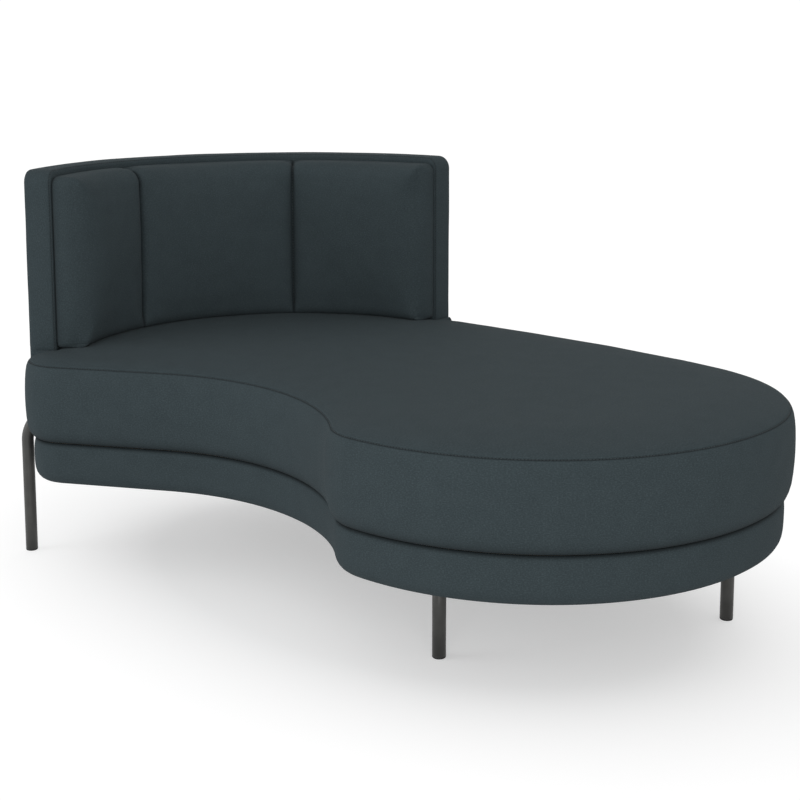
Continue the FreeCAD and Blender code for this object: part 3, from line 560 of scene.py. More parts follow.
# Section of the seat's side and of its notch, from below to above: inset and height in
# millimetres. SEAM_ROW is the row of the side that the seam's thread lies on.
SIDE = [(45, 275.4), (20.4, 275.4), (16.8, 276.7), (12.8, 279.6), (8.8, 284.6), (5.0, 292),
        (2.2, 303), (0.6, 319), (-0.5, 340), (-0.9, 360), (-0.6, 380), (0.2, 398), (1.6, 412),
        (3.6, 423), (5.9, 429.6), (7.4, 432.4), (8.6, 433.9), (10.3, 434.5), (11.0, 436.0),
        (11.9, 437.3), (13.4, 438.5)]
SEAM_ROW = 17
NOTCH = [(22, 275.0), (5, 275.0), (2, 275.6), (0.5, 277.5), (0, 281), (0, 290), (0, 302), (0, 318),
         (0, 338), (0, 358), (0, 378), (0, 396), (0, 410), (0, 422), (0, 430), (0, 435),
         (0.2, 439), (0.7, 442.5), (1.8, 445.2), (3.8, 447.2), (7.5, 448.6)]


def make_seat():
    """The seat cushion, and the points of its seam from one end of the back to the other."""
    loop, normals, kinds = trace(seat_runs(), OUTLINE_STEP)
    share = np.array([{OPEN: 0.0, IN_NOTCH: 1.0, LEAD_IN: smooth_step(t),
                       LEAD_OUT: 1 - smooth_step(t)}[kind] for kind, t in kinds])
    rows = [tuple((a * (1 - share) + b * share) / 1000 for a, b in zip(*pair))
            for pair in zip(SIDE, NOTCH)]
    edge = loop - normals * rows[-1][0][:, None]
    bands = [(outline_points - outline_normals * inset)[::every] for inset, every in
             ((0.0165, 1), (0.021, 1), (0.027, 1), (0.035, 2), (0.045, 2))]
    grid = grid_points(*ROUND_ALL, 0.0125, lambda p: (depth_inside(p) > 0.052) & inside(p, edge))
    top = np.vstack(bands + [grid])
    top = top[inside(top, edge)]
    top = top[reach_from(top, edge) > 0.0022]
    low_edge = loop - normals * rows[0][0][:, None]
    low = grid_points(*ROUND_ALL, 0.05, lambda p: inside(p, low_edge))
    low = low[reach_from(low, low_edge) > 0.02]
    piece, count = slab("seat_cushion_soft", loop, normals, rows, top, seat_height(depth_inside(top)),
                        low, np.full(len(low), DECK_TOP), lambda u, v, h: (u, v, h))
    turn = next(k for k in range(count) if share[k] < 0.5 <= share[k - 1])
    length = int((share < 0.5).sum())
    return piece, [SEAM_ROW * count + (turn + k) % count for k in range(length)]


def seat_hold(co):
    """Where the seat's cover is held: below, in the notch and along the seam."""
    if co[2] < DECK_TOP + 0.012:
        return 1.0
    reach, turn = polar(co)
    if reach > BACK_IN - 0.02 and BACK_START - 4 < turn < BACK_STOP + 3:
        return 1.0
    return 0.9 if abs(co[2] - SEAM_Z) < 0.008 else 0.0


# ---------------------------------------------------------------- back
def bend_round(reference, outside):
    """Place of a point given along the back, up it, and in from its outer face."""
    def place(u, v, h):
        r = outside - h
        return (HEAD[0] + r * math.cos(u / reference), HEAD[1] + r * math.sin(u / reference), v)
    return place


def panel_loop(left, right, low, high, corners, columns, step):
    """A rounded rectangle with the given corner radii (low right, high right, high left, low left).
    columns are places along the length that the points keep to."""
    points, normals = [], []

    def run(a, b, normal, fixed):
        a, b = np.array(a), np.array(b)
        length = np.linalg.norm(b - a)
        shares = [(c - a[0]) / (b[0] - a[0]) for c in fixed]
        stops = sorted({0.0, 1.0, *[t for t in shares if 0.002 < t < 0.998]})
        for t0, t1 in zip(stops, stops[1:]):
            count = max(1, round(length * (t1 - t0) / step))
            for k in range(count):
                points.append(a + (b - a) * (t0 + (t1 - t0) * k / count))
                normals.append(np.array(normal, float))

    def bend(centre, radius, start):
        for k in range(8):
            out = ray(start + 90 * k / 8)
            points.append(np.array(centre) + out * radius)
            normals.append(out)

    lr, hr, hl, ll = corners
    run((left + ll, low), (right - lr, low), (0, -1), columns)
    bend((right - lr, low + lr), lr, -90)
    run((right, low + lr), (right, high - hr), (1, 0), ())
    bend((right - hr, high - hr), hr, 0)
    run((right - hr, high), (left + hl, high), (0, 1), columns)
    bend((left + hl, high - hl), hl, 90)
    run((left, high - hl), (left, low + ll), (-1, 0), ())
    bend((left + ll, low + ll), ll, 180)
    return np.array(points), np.array(normals)


def make_shell():
    """The padded back: outer face, edge all round with its two seams, and inner face. Returns
    the piece and the points of both seams."""
    left, right = math.radians(BACK_START) * HEAD_R, math.radians(BACK_STOP) * HEAD_R
    loop, normals = panel_loop(left, right, DECK_TOP, BACK_TOP, (0.012, 0.028, 0.028, 0.012), (), 0.009)
    soft, bulge, first_inset, flat_inset = 0.009, 0.0006, 0.022, 0.0135

    def bent(*turns):
        return [tuple(soft - soft * part for part in reversed(ray(turn))) for turn in turns]

    edge_rows = [(flat_inset, 0.0), (0.0105, 0.0002), *bent(20, 35, 45), (soft / 2, soft / 2),
                 *bent(50, 62, 76, 90)]
    rows = [(first_inset, 0.0)] + edge_rows
    rows += [(-bulge * math.sin(math.pi * k / 5), soft + (BACK_THICK - 2 * soft) * k / 5)
             for k in range(1, 5)]
    rows += [(inset, BACK_THICK - depth) for inset, depth in reversed(edge_rows)]
    low_edge = 1 - smooth_step((loop[:, 1] - DECK_TOP - 0.012) / 0.03)
    rows = [(inset * (1 - low_edge * 0.7), np.full(len(loop), height)) for inset, height in rows]
    faces = []
    for inset, clear in ((flat_inset, 0.022), (first_inset, 0.030)):
        edge = loop - normals * inset
        points = grid_points((left, DECK_TOP), (right, BACK_TOP), 0.016, lambda p: inside(p, edge))
        faces.append(points[reach_from(points, loop) > clear])
    front, rear = faces
    piece, count = slab("back_shell_soft", loop, normals, rows, front, np.full(len(front), BACK_THICK),
                        rear, np.zeros(len(rear)), bend_round(HEAD_R, HEAD_R))
    return piece, [[row * count + k for k in range(count)] for row in SHELL_SEAM_ROWS]


def channel_columns(channels, ref, left, right):
    """Places along the back cushion, close together beside its channels."""
    places = {round(math.radians(turn) * ref + side * away, 5) for turn in channels
              for away in (0, 0.0018, 0.004, 0.007, 0.011, 0.017, 0.026) for side in (-1, 1)}
    for value in np.arange(left + 0.02, right - 0.02, 0.0125):
        if min(abs(value - math.radians(turn) * ref) for turn in channels) > 0.034:
            places.add(round(float(value), 5))
    return sorted(places)


def make_pad():
    """The back cushion: three panels that swell between two sewn channels, rolled at the top."""
    ref = BACK_IN
    left, right = math.radians(BACK_START) * ref + CLEAR, math.radians(BACK_STOP) * ref - CLEAR
    columns = channel_columns((REAR_CHANNEL, FRONT_CHANNEL), ref, left, right)
    loop, normals = panel_loop(left, right, PAD_BOTTOM, PAD_TOP, (0.012, 0.020, 0.020, 0.012),
                               columns, 0.0105)
    end_round, top_round, low_round = 0.050, 0.034, 0.020
    wall_start = 0.0095

    def edge_round(points):
        """Rounding of the nearest edge, blended where two edges meet."""
        away = np.stack([np.minimum(points[:, 0] - left, right - points[:, 0]),
                         PAD_TOP - points[:, 1], points[:, 1] - PAD_BOTTOM], 1)
        weight = 1.0 / np.maximum(away, 0.002) ** 3
        return weight / weight.sum(1)[:, None] @ np.array([end_round, top_round, low_round])

    def swell(points):
        """Thickness away from the edges: panels that bulge between the channels."""
        turn = np.degrees(points[:, 0] / ref)
        marks = [BACK_START + 1.5, REAR_CHANNEL, FRONT_CHANNEL, BACK_STOP - 1.5]
        result = np.zeros(len(points))
        for a, b, rise in zip(marks, marks[1:], (0.011, 0.016, 0.013)):
            t = np.clip((turn - a) / (b - a), 0, 1)
            bulge = rise * (1 - np.abs(2 * t - 1) ** 2.8)
            result = np.where((turn >= a) & (turn <= b), bulge, result)
        up = np.clip((points[:, 1] - PAD_BOTTOM) / (PAD_TOP - PAD_BOTTOM), 0, 1)
        return result * np.sin(math.pi * np.clip(up * 0.86 + 0.07, 0, 1)) ** 0.7

    def rim(rounding, inset):
        """Thickness on the rounded rim, an inset away from its edge."""
        rest = np.maximum(rounding ** 2 - (rounding - inset) ** 2, 0)
        return PAD_THICK - rounding + np.sqrt(rest)

    def thickness(points):
        away = reach_from(points, loop)
        rounding = edge_round(points)
        return rim(rounding, np.minimum(away, rounding)) + swell(points) * smooth_step(away / 0.07)

    insets = [0.0004, 0.0012, 0.0025, 0.0042, 0.0064, 0.009]
    full = np.ones(len(loop))
    wall = PAD_THICK - edge_round(loop)
    rows = [(full * inset, full * depth) for inset, depth in
            ((0.012, 0.0), (0.0075, 0.0004), (0.0045, 0.0016), (0.0022, 0.0036), (0.0008, 0.0062))]
    rows += [(full * 0, np.maximum(wall_start + (wall - wall_start) * t, wall_start))
             for t in (0.0, 0.25, 0.5, 0.75, 1.0)]
    rows += [(full * inset, rim(edge_round(loop), inset)) for inset in insets]
    edge = loop - normals * insets[-1]
    levels, v = [], PAD_TOP - 0.012
    while v > PAD_BOTTOM + 0.010:
        levels.append(v)
        v -= 0.0045 if v > PAD_TOP - 0.035 else 0.007 if v > PAD_TOP - 0.07 else 0.0115
    face = np.array([(u, v) for u in columns if left + 0.033 < u < right - 0.033 for v in levels])
    ends = np.array([(u, v) for d in (0.0115, 0.0145, 0.018, 0.0225, 0.028)
                     for u in (left + d, right - d) for v in levels])
    face = np.vstack([face, ends])
    face = face[inside(face, edge)]
    face = face[reach_from(face, edge) > 0.0018]
    back = grid_points((left, PAD_BOTTOM), (right, PAD_TOP), 0.03, lambda p: inside(p, loop))
    back = back[reach_from(back, loop) > 0.022]
    piece, _ = slab("back_cushion_soft", loop, normals, rows, face, thickness(face),
                    back, np.zeros(len(back)), bend_round(ref, BACK_IN - CLEAR))
    return piece


def sew_channels(piece):
    """Draws the two channels in, over the front and the rolled top of the back cushion."""
    mesh = piece.data
    mesh.update()
    normals = [vertex.normal.copy() for vertex in mesh.vertices]
    for vertex, normal in zip(mesh.vertices, normals):
        reach, turn = polar(vertex.co)
        behind = BACK_IN - reach
        if behind < 0.004:
            continue
        away = from_channel(turn)
        depth = 0.0105 * math.exp(-(away / 0.0120) ** 1.3) + 0.0035 * math.exp(-(away / 0.0022) ** 2)
        depth *= float(smooth_step((vertex.co.z - PAD_BOTTOM) / 0.03)) * min(behind / 0.02, 1.0)
        vertex.co -= normal * depth
    mesh.update()


def pad_hold(co):
    """Where the back cushion's cover is held: behind, below and along its channels."""
    reach, turn = polar(co)
    held = BACK_IN - reach < 0.012 or co[2] < PAD_BOTTOM + 0.010 or from_channel(turn) < 0.008
    return 1.0 if held else 0.0


def seat_painted_shade(index, co):
    """Painted shade on the seat, where shade falls: under the back, in the seam, on the base and beside
    the pad.
    """
    reach, turn = polar(co)
    if reach > BACK_IN - 0.004 and BACK_START < turn < BACK_STOP:
        return 0.6
    seam = 0.85 * math.exp(-((co.z - SEAM_Z + 0.0006) / 0.0011) ** 2)
    low = math.exp(-max(co.z - DECK_TOP, 0.0) / 0.0075)
    beside = 0.0
    if co.z > SEAM_Z + 0.006 and BACK_START + 1 < turn < BACK_STOP - 1:
        beside = 0.45 * math.exp(-max(BACK_IN - PAD_THICK - reach, 0) / 0.006)
    return max(seam, low, beside)


def shell_hold(co):
    """Where the back's padding lies flat: inside, and down to where the legs are."""
    return 1.0 if polar(co)[0] < BACK_IN + 0.02 or co.z < DECK_TOP + 0.18 else 0.0


def pad_painted_shade(index, co):
    """Painted shade on the back cushion: in its channels, behind it and at its lower edge."""
    reach, turn = polar(co)
    return max(0.95 * math.exp(-(from_channel(turn) / 0.0042) ** 2),
               math.exp(-max(BACK_IN - reach, 0) / 0.007),
               0.8 * math.exp(-max(co.z - PAD_BOTTOM, 0) / 0.007))


def channel_path(piece, channel):
    """Points of the back cushion in one channel, from below over the top."""
    found = []
    for vertex in piece.data.vertices:
        reach, turn = polar(vertex.co)
        if abs(turn - channel) < 0.06 and BACK_IN - reach > 0.022 and vertex.co.z > PAD_BOTTOM + 0.012:
            order = math.atan2(vertex.co.z - 0.62, 0.475 - reach)
            found.append((order, vertex.co + vertex.normal * 0.0003))
    return [co for _, co in sorted(found, key=lambda item: item[0])]


# ---------------------------------------------------------------- base
# Section of the base's cover in millimetres of inset and height: from its fold under the floor
# panel out, up the side, over the deck's edge, and back down behind.
BASE_ROWS = [(39, 187.6), (39, 187.05), (48, 187.02), (48, 186.75), (40, 186.7), (36.6, 186.8),
             (33.2, 187.4), (28.6, 189.2), (24.2, 192.4), (20.4, 197.0), (17.4, 202.6),
             (15.6, 208.6), (14.6, 216), (14.1, 226), (14.0, 238), (14.1, 248), (14.5, 256),
             (15.1, 262), (15.8, 266.2), (16.6, 269.4), (17.3, 271.8), (17.9, 273.6),
             (18.3, 274.8), (18.7, 275.2), (20.6, 275.2), (20.6, 271), (19.0, 262), (22, 260.2),
             (39, 260.0), (39, 225)]


def make_base():
    """The cover round the base, a closed band whose section is BASE_ROWS."""
    points, normals, _ = trace(KIDNEY, OUTLINE_STEP)
    count, rings = len(points), len(BASE_ROWS)
    run = lengths(points)
    verts = [(*(point - normal * inset / 1000), level / 1000)
             for inset, level in BASE_ROWS for point, normal in zip(points, normals)]
    faces, uvs, climb = [], [], 0.0
    for r in range(rings):
        up = (r + 1) % rings
        higher = climb + math.dist(BASE_ROWS[r], BASE_ROWS[up]) / 1000
        for k in range(count):
            n = (k + 1) % count
            faces.append((r * count + k, r * count + n, up * count + n, up * count + k))
            uvs += [(run[k], climb), (run[k + 1], climb), (run[k + 1], higher), (run[k], higher)]
        climb = higher
    return outward(new_piece("base_cover_soft", verts, faces, uvs))


# ---------------------------------------------------------------- legs
def swept_tube(name, path, radius, sides=48):
    """A round bar along a path of points, closed at both ends."""
    path = [Vector(p) for p in path]
    verts, side = [], None
    for k, point in enumerate(path):
        ahead = (path[min(k + 1, len(path) - 1)] - path[max(k - 1, 0)]).normalized()
        side = side or ahead.orthogonal().normalized()
        side = (side - ahead * side.dot(ahead)).normalized()
        other = ahead.cross(side)
        for s in range(sides):
            turn = 2 * math.pi * s / sides
            verts.append(point + side * radius * math.cos(turn) + other * radius * math.sin(turn))
    faces = ring_faces(len(path), sides) + end_faces(len(path), sides)
    piece = outward(new_piece(name, verts, faces))
    for polygon in piece.data.polygons:
        polygon.use_smooth = len(polygon.vertices) <= 4
    return piece


def bent_leg(name, angle):
    """The bar of a leg outside the back: upright, then bent in to the back's lower edge."""
    inward = Vector((*-ray(angle), 0))
    foot = Vector((*HEAD, 0)) - inward * (HEAD_R + LEG_OUT)
    low, start, bend, stop = 0.004, 0.242, 0.066, math.radians(58)
    path = [foot + Vector((0, 0, low + (start - low) * k / 4)) for k in range(4)]
    for k in range(15):
        turn = stop * k / 14
        rise = Vector((0, 0, start + bend * math.sin(turn)))
        path.append(foot + inward * bend * (1 - math.cos(turn)) + rise)
    path.append(path[-1] + (path[-1] - path[-2]).normalized() * 0.0035)
    return swept_tube(name, path, TUBE_R)


def turned(name, centre, profile, sides=48):
    """A turned piece: profile is a list of (radius, height) from below to above."""
    verts, faces = lathe(profile, sides)
    return outward(new_piece(name, [(x + centre[0], y + centre[1], z) for x, y, z in verts], faces))


def make_dust_cloth(points, normals):
    """The black cloth under the base: thin, with a folded hem and faint slack between its
    staples."""
    verts, count, total = [], len(points), len(DUST_ROWS)
    for row, (inset, level) in enumerate(DUST_ROWS):
        for k, (point, normal) in enumerate(zip(points, normals)):
            slack = 0.00022 * math.sin(k * 0.9 + row) if 0 < row < 4 else 0.0
            verts.append((*(point - normal * inset), level + slack))
    faces = ring_faces(total, count)
    for ring, level, step, loose in ((0, 0.1862, 0.035, 0.0003), (total - 1, 0.1870, 0.06, 0.0)):
        edge = np.array([v[:2] for v in verts[ring * count:(ring + 1) * count]])
        extra = grid_points(*ROUND_ALL, step, lambda p: inside(p, edge))
        extra = extra[reach_from(extra, edge) > 0.012]
        index = [*range(ring * count, (ring + 1) * count), *range(len(verts), len(verts) + len(extra))]
        verts += [(x, y, level + loose * perlin.noise(Vector((x * 9, y * 9, 2.0)))) for x, y in extra]
        faces += [[index[k] for k in face] for face in fill_inside(edge, extra)]
    uvs = [verts[k][:2] for face in faces for k in face]
    piece = outward(new_piece("dust_cloth_sheet", verts, faces, uvs))
    settle(piece, dust_black, "dust_cloth", "dust_cover")


def staple_shape():
    """A wire staple seen from below: its crown along X, its legs up."""
    leg, crown, half = 0.0003, 0.0004, 0.0005
    path = ((-0.0050, 0.0006), (-0.0050, -0.0001), (-0.0046, -0.0005),
            (0.0046, -0.0005), (0.0050, -0.0001), (0.0050, 0.0006))
    verts = []
    for k, (x, z) in enumerate(path):
        inner_x, inner_z = (x, z + crown) if k in (2, 3) else (x - math.copysign(leg, x), z)
        verts += [(inner_x, -half, inner_z), (x, -half, z), (x, half, z), (inner_x, half, inner_z)]
    return verts, ring_faces(len(path), 4) + end_faces(len(path), 4)


# ---------------------------------------------------------------- materials
def scaled(tree, vector, by):
    node = add(tree, "ShaderNodeVectorMath", {0: vector, 1: by}, operation="MULTIPLY")
    return node.outputs[0]


def noise(tree, vector, by, detail=2.0, rough=0.5):
    """Noise with so many waves per metre along each axis."""
    return add(tree, "ShaderNodeTexNoise", {
        "Vector": scaled(tree, vector, by), "Scale": 1.0, "Detail": detail,
        "Roughness": rough}).outputs["Fac"]


def blend(tree, fac, first, second, mode="MIX"):
    """A mix of two colours, or their product with mode MULTIPLY."""
    return add(tree, "ShaderNodeMix", {0: fac, 6: first, 7: second}, data_type="RGBA",
               blend_type=mode).outputs[2]


def spread(tree, value, low, high, to_low, to_high):
    """A value between low and high, carried over to to_low and to_high."""
    return add(tree, "ShaderNodeMapRange", {
        "Value": value, "From Min": low, "From Max": high, "To Min": to_low,
        "To Max": to_high}).outputs["Result"]


def woven_cloth_group():
    """A plain weave with slubs, drawn on a UV map in metres, and painted shade in seams, channels and
    gaps.
    """
    group, source, target = open_group(
        "woven_cloth", "ShaderNodeTree",
        (("Vector", "Vector", None), ("Yarns per Metre", "Float", 620.0),
         ("Yarn", "Color", (0.05, 0.06, 0.07, 1)), ("Dark Yarn", "Color", (0.03, 0.04, 0.05, 1)),
         ("Slub", "Float", 0.5), ("Mottle", "Float", 0.5), ("Painted Shade", "Float", 0.0),
         ("Speckle", "Float", 0.5)),
        (("Color", "Color"), ("Roughness", "Float"), ("Height", "Float")))
    vector, pace = source["Vector"], source["Yarns per Metre"]

    def calc(operation, first, second=None, clamp=False):
        return math_node(group, operation, first, second, clamp)

    def sum_of(first, share, second, other):
        return calc("ADD", calc("MULTIPLY", first, share), calc("MULTIPLY", second, other))

    def yarn_wave(way):
        return calc("ABSOLUTE", calc("SINE", calc("MULTIPLY", way, math.pi)))

    split = add(group, "ShaderNodeSeparateXYZ", {0: vector})
    u, v = (calc("MULTIPLY", split.outputs[k], pace) for k in (0, 1))
    wave_u, wave_v = yarn_wave(u), yarn_wave(v)
    parity = calc("MODULO", calc("ADD", calc("FLOOR", u), calc("FLOOR", v)), 2.0)
    parity = calc("ABSOLUTE", parity)
    over = calc("MULTIPLY", wave_u, calc("POWER", wave_v, 0.45))
    under = calc("MULTIPLY", wave_v, calc("POWER", wave_u, 0.45))
    weave = sum_of(over, parity, under, calc("SUBTRACT", 1.0, parity))
    warp_slub = noise(group, vector, (150.0, 1150.0, 1.0), 2.5, 0.6)
    weft_slub = noise(group, vector, (1150.0, 150.0, 1.0), 2.5, 0.6)
    grain = noise(group, vector, (420.0, 420.0, 1.0), 2.0, 0.55)
    slub = sum_of(sum_of(warp_slub, 0.5, weft_slub, 0.5), 0.6, grain, 0.4)
    slub = spread(group, slub, 0.34, 0.66, 0.0, 1.0)
    mottle = calc("SUBTRACT", noise(group, vector, (26.0, 26.0, 1.0), 3.0, 0.55), 0.5)
    fleck = noise(group, vector, (290.0, 540.0, 1.0), 2.0, 0.6)
    fleck = spread(group, fleck, 0.48, 0.72, -0.15, 1.25)
    light = sum_of(weave, 0.45, slub, source["Slub"])
    light = calc("ADD", light, calc("MULTIPLY", mottle, source["Mottle"]), clamp=True)
    light = calc("ADD", light, calc("MULTIPLY", fleck, source["Speckle"]))
    light = calc("SUBTRACT", light, 0.12, clamp=True)
    tone = blend(group, light, source["Dark Yarn"], source["Yarn"])
    # Painted shade: this darkens the colour by up to 72% in seams, channels and gaps.
    kept = calc("SUBTRACT", 1.0, calc("MULTIPLY", source["Painted Shade"], 0.72))
    shade = add(group, "ShaderNodeCombineColor", {0: kept, 1: kept, 2: kept})
    for name, value in (("Color", blend(group, 1.0, tone, shade.outputs[0], "MULTIPLY")),
                        ("Roughness", spread(group, slub, 0.0, 1.0, 0.86, 0.97)),
                        ("Height", sum_of(weave, 0.55, slub, 0.6))):
        group.links.new(value, target[name])
    return group


def new_material(name):
    """A material, its empty tree and the object's own coordinates."""
    material = bpy.data.materials.new(name)
    material.use_nodes = True
    material.node_tree.nodes.clear()
    place = add(material.node_tree, "ShaderNodeTexCoord").outputs["Object"]
    return material, material.node_tree, place


def dress(tree, colour, roughness, height, strength, distance, constants=None):
    """The shader of a material, with its colour, its roughness and the bump of a height."""
    bump = add(tree, "ShaderNodeBump", {
        "Height": height, "Strength": strength, "Distance": distance})
    shader = add(tree, "ShaderNodeBsdfPrincipled", {
        "Base Color": colour, "Roughness": roughness, "Normal": bump.outputs[0],
        **(constants or {})})
    add(tree, "ShaderNodeOutputMaterial", {"Surface": shader.outputs[0]})


def cloth_material(name, light, dark, slub=0.5, mottle=0.35, speckle=0.5):
    """Woven cover cloth in two yarn colours, with painted shade darkening its seams, channels and gaps.
    """
    material, tree, _ = new_material(name)
    uv = add(tree, "ShaderNodeUVMap", uv_map="cloth")
    painted_shade = add(tree, "ShaderNodeAttribute", attribute_name="painted_shade")
    cloth = add(tree, "ShaderNodeGroup", node_tree=woven_cloth_group(), inputs={
        "Vector": uv.outputs[0], "Yarn": (*light, 1), "Dark Yarn": (*dark, 1), "Slub": slub,
        "Mottle": mottle, "Speckle": speckle, "Painted Shade": painted_shade.outputs["Fac"]}).outputs
    dress(tree, cloth["Color"], cloth["Roughness"], cloth["Height"], 0.5, 0.0008,
          {"Sheen Weight": 0.02, "Sheen Roughness": 0.5, "Specular IOR Level": 0.06})
    return material


upholstery = cloth_material("slate_weave", (0.060, 0.080, 0.087), (0.034, 0.046, 0.051))


def coat_material(name, base, high, roughness):
    """A coat or a plain surface: fine orange peel and a few paler rubbed places."""
    material, tree, place = new_material(name)
    peel = noise(tree, place, (900.0, 900.0, 900.0))
    cloud = noise(tree, place, (35.0, 35.0, 35.0), 3.0)
    colour = blend(tree, spread(tree, cloud, 0.35, 0.7, 0.0, 1.0), (*base, 1), (*high, 1))
    dress(tree, colour, spread(tree, cloud, 0.3, 0.7, roughness - 0.06, roughness + 0.06),
          peel, 0.25, 0.0002, {"Metallic": 0.35})
    return material


leg_coat = coat_material("charcoal_coat", (0.046, 0.046, 0.043), (0.062, 0.062, 0.058), 0.45)
bright_steel = coat_material("zinc_steel", (0.42, 0.42, 0.41), (0.55, 0.55, 0.53), 0.32)
dust_black = coat_material("spun_cloth", (0.012, 0.012, 0.013), (0.02, 0.02, 0.021), 0.9)
glide_plastic = coat_material("glide_plastic", (0.016, 0.016, 0.016), (0.024, 0.024, 0.024), 0.6)


def plain_thread():
    """Twisted sewing thread, a shade darker than the cloth."""
    material, tree, place = new_material("slate_thread")
    twist = noise(tree, place, (2600.0, 2600.0, 2600.0), 1.0)
    dress(tree, blend(tree, twist, (0.020, 0.026, 0.029, 1), (0.042, 0.053, 0.058, 1)),
          spread(tree, twist, 0.3, 0.7, 0.6, 0.85), twist, 0.3, 0.0001)
    return material


def board_material():
    """Birch plywood with its figure and pores along X."""
    material, tree, place = new_material("plywood")
    figure = noise(tree, place, (3.0, 40.0, 40.0), 5.0, 0.6)
    pores = noise(tree, place, (30.0, 700.0, 700.0))
    tone = blend(tree, spread(tree, figure, 0.3, 0.7, 0.0, 1.0),
                 (0.55, 0.38, 0.22, 1), (0.72, 0.55, 0.36, 1))
    dark = spread(tree, pores, 0.62, 0.75, 0.0, 0.5)
    dress(tree, blend(tree, dark, tone, (0.30, 0.19, 0.10, 1)),
          spread(tree, figure, 0.3, 0.7, 0.55, 0.75), pores, 0.3, 0.0003)
    return material


plywood = board_material()


def settle(piece, material, slot_name, *replaced):
    """Gives a piece its material, sets it on the body and hides the solids that it replaces. slot_name
    is not used.
    """
    piece.data.materials.clear()
    piece.data.materials.append(material)
    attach(piece, "root")
    if replaced:
        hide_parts(*replaced)
    return piece


# ---------------------------------------------------------------- build
seat, seat_seam = make_seat()
puff(seat, 0.010, 3.0, 0.006, seat_hold, 10)
uneven(seat, 0.0011, 0.14, seat_hold)
mark_painted_shade(seat, seat_painted_shade)
settle(seat, upholstery, "upholstery", "seat_cushion")

base = make_base()
uneven(base, 0.0007, 0.12, lambda co: 0.0 if 0.193 < co.z < 0.266 else 1.0)
# Painted shade: the base's cover darkens towards its top, in the gap under the seat cushion.
mark_painted_shade(base, lambda index, co: (co.z - 0.2680) / 0.006)
settle(base, upholstery, "upholstery", "base_band")

shell, shell_seams = make_shell()
uneven(shell, 0.0009, 0.13, shell_hold)
sewn = {index for ring in shell_seams for index in ring}
# Painted shade: the shell's cloth is darkened along its two seam rows.
mark_painted_shade(shell, lambda index, co: 0.55 if index in sewn else 0.0)
settle(shell, upholstery, "upholstery", "back_cover")

pad = make_pad()
puff(pad, 0.008, 2.2, 0.007, pad_hold, 24)
uneven(pad, 0.0012, 0.12, pad_hold)
sew_channels(pad)
mark_painted_shade(pad, pad_painted_shade)
settle(pad, upholstery, "upholstery", "back_cushion")

# ---------------------------------------------------------------- thread
along, on_points = row_tree(True), row_tree(False)
stitch = new_piece("stitch_form", *lathe([(0.00012, -0.0021), (0.00036, -0.0017), (0.00045, -0.0007),
                                          (0.00045, 0.0007), (0.00036, 0.0017), (0.00012, 0.0021)], 6))
stitch.data.transform(Matrix.Rotation(math.radians(90), 4, "Y"))
thread = plain_thread()
seat.data.update()
lay_items(path_piece("seat_seam_thread", lifted(seat, seat_seam, 0.0003)), along, stitch, thread,
          "upholstery", Pace=0.0056)
for number, channel in enumerate((REAR_CHANNEL, FRONT_CHANNEL), 1):
    lay_items(path_piece("channel_thread_%d" % number, channel_path(pad, channel)), along, stitch,
              thread, "upholstery", Pace=0.0062, Seed=20 + number)
shell.data.update()
for number, ring in enumerate(shell_seams, 1):
    points = [p for p in lifted(shell, ring, 0.0002) if p.z > DECK_TOP + 0.17]
    start = max(range(len(points)), key=lambda k: (points[k] - points[k - 1]).length)
    points = points[start:] + points[:start]
    lay_items(path_piece("shell_seam_thread_%d" % number, points), along, stitch, thread,
              "upholstery", Pace=0.0060, Seed=30 + number)

# ---------------------------------------------------------------- cloth below, screws and welds
below, below_normals, _ = trace(KIDNEY, 0.012)
make_dust_cloth(below, below_normals)
staple = new_piece("staple_form", *staple_shape())
staple_path = [(x, y, STAPLE_LEVEL) for x, y in below - below_normals * STAPLE_INSET]
lay_items(path_piece("dust_cloth_staples", staple_path, True), along, staple, bright_steel,
          "leg_paint", Pace=0.042, Turn_Spread=0.16, Size_Spread=0.02)

# The last three rings of a screw are the hexagonal socket in its head.
screw = new_piece("screw_form", *lathe(
    [(0.0046, 0.0), (0.0046, -0.0007), (0.0041, -0.0017), (0.0030, -0.0023),
     (0.0019, -0.0023), (0.0018, -0.0010), (0.0006, -0.0009)], 24,
    lambda ring, turn: 1.0 if ring < 4 else 0.88 / math.cos(turn % (math.pi / 3) - math.pi / 6)))
spots = []
for name in ("front", "end"):
    low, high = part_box(name + "_leg_plate")
    middle, half = (low + high) / 2, (high.x - low.x) / 2 - SCREW_IN
    spots += [(middle.x + half * a, middle.y + half * b, low.z + 0.0001)
              for a in (-1, 1) for b in (-1, 1)]
lay_items(path_piece("leg_plate_screws", spots, None), on_points, screw, bright_steel, "leg_paint",
          Turn_Spread=3.0, Size_Spread=0.0, Seed=5)
for name in ("front", "end"):
    low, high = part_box(name + "_leg_tube")
    weld = turned(name + "_leg_weld", (low + high) / 2, [(radius, high.z + up) for radius, up in (
        (0.0122, -0.0042), (0.0129, -0.0036), (0.0134, -0.0024), (0.0146, -0.0010),
        (0.0162, -0.0002), (0.0164, 0.0003))])
    settle(weld, leg_coat, "leg_paint")
for form in (stitch, staple, screw):
    bpy.data.objects.remove(form)

# ---------------------------------------------------------------- leg bars and feet
for name, angle in (("rear", REAR_LEG), ("side", SIDE_LEG)):
    settle(bent_leg(name + "_leg_bar", angle), leg_coat, "leg_paint", name + "_leg_tube")
for name in ("front", "end"):
    low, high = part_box(name + "_leg_tube")
    x, y, _ = (low + high) / 2
    bar = swept_tube(name + "_leg_bar", [(x, y, low.z), (x, y, high.z)], TUBE_R)
    settle(bar, leg_coat, "leg_paint", name + "_leg_tube")
for name in ("front", "end", "rear", "side"):
    low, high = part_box(name + "_leg_glide")
    foot = turned(name + "_leg_foot", (low + high) / 2, [
        (0.0108, 0.0), (0.0117, 0.0004), (0.0123, 0.0014), (0.0125, 0.0026), (0.0125, 0.0038),
        (0.0122, 0.0042)])
    settle(foot, glide_plastic, "glide", name + "_leg_glide")

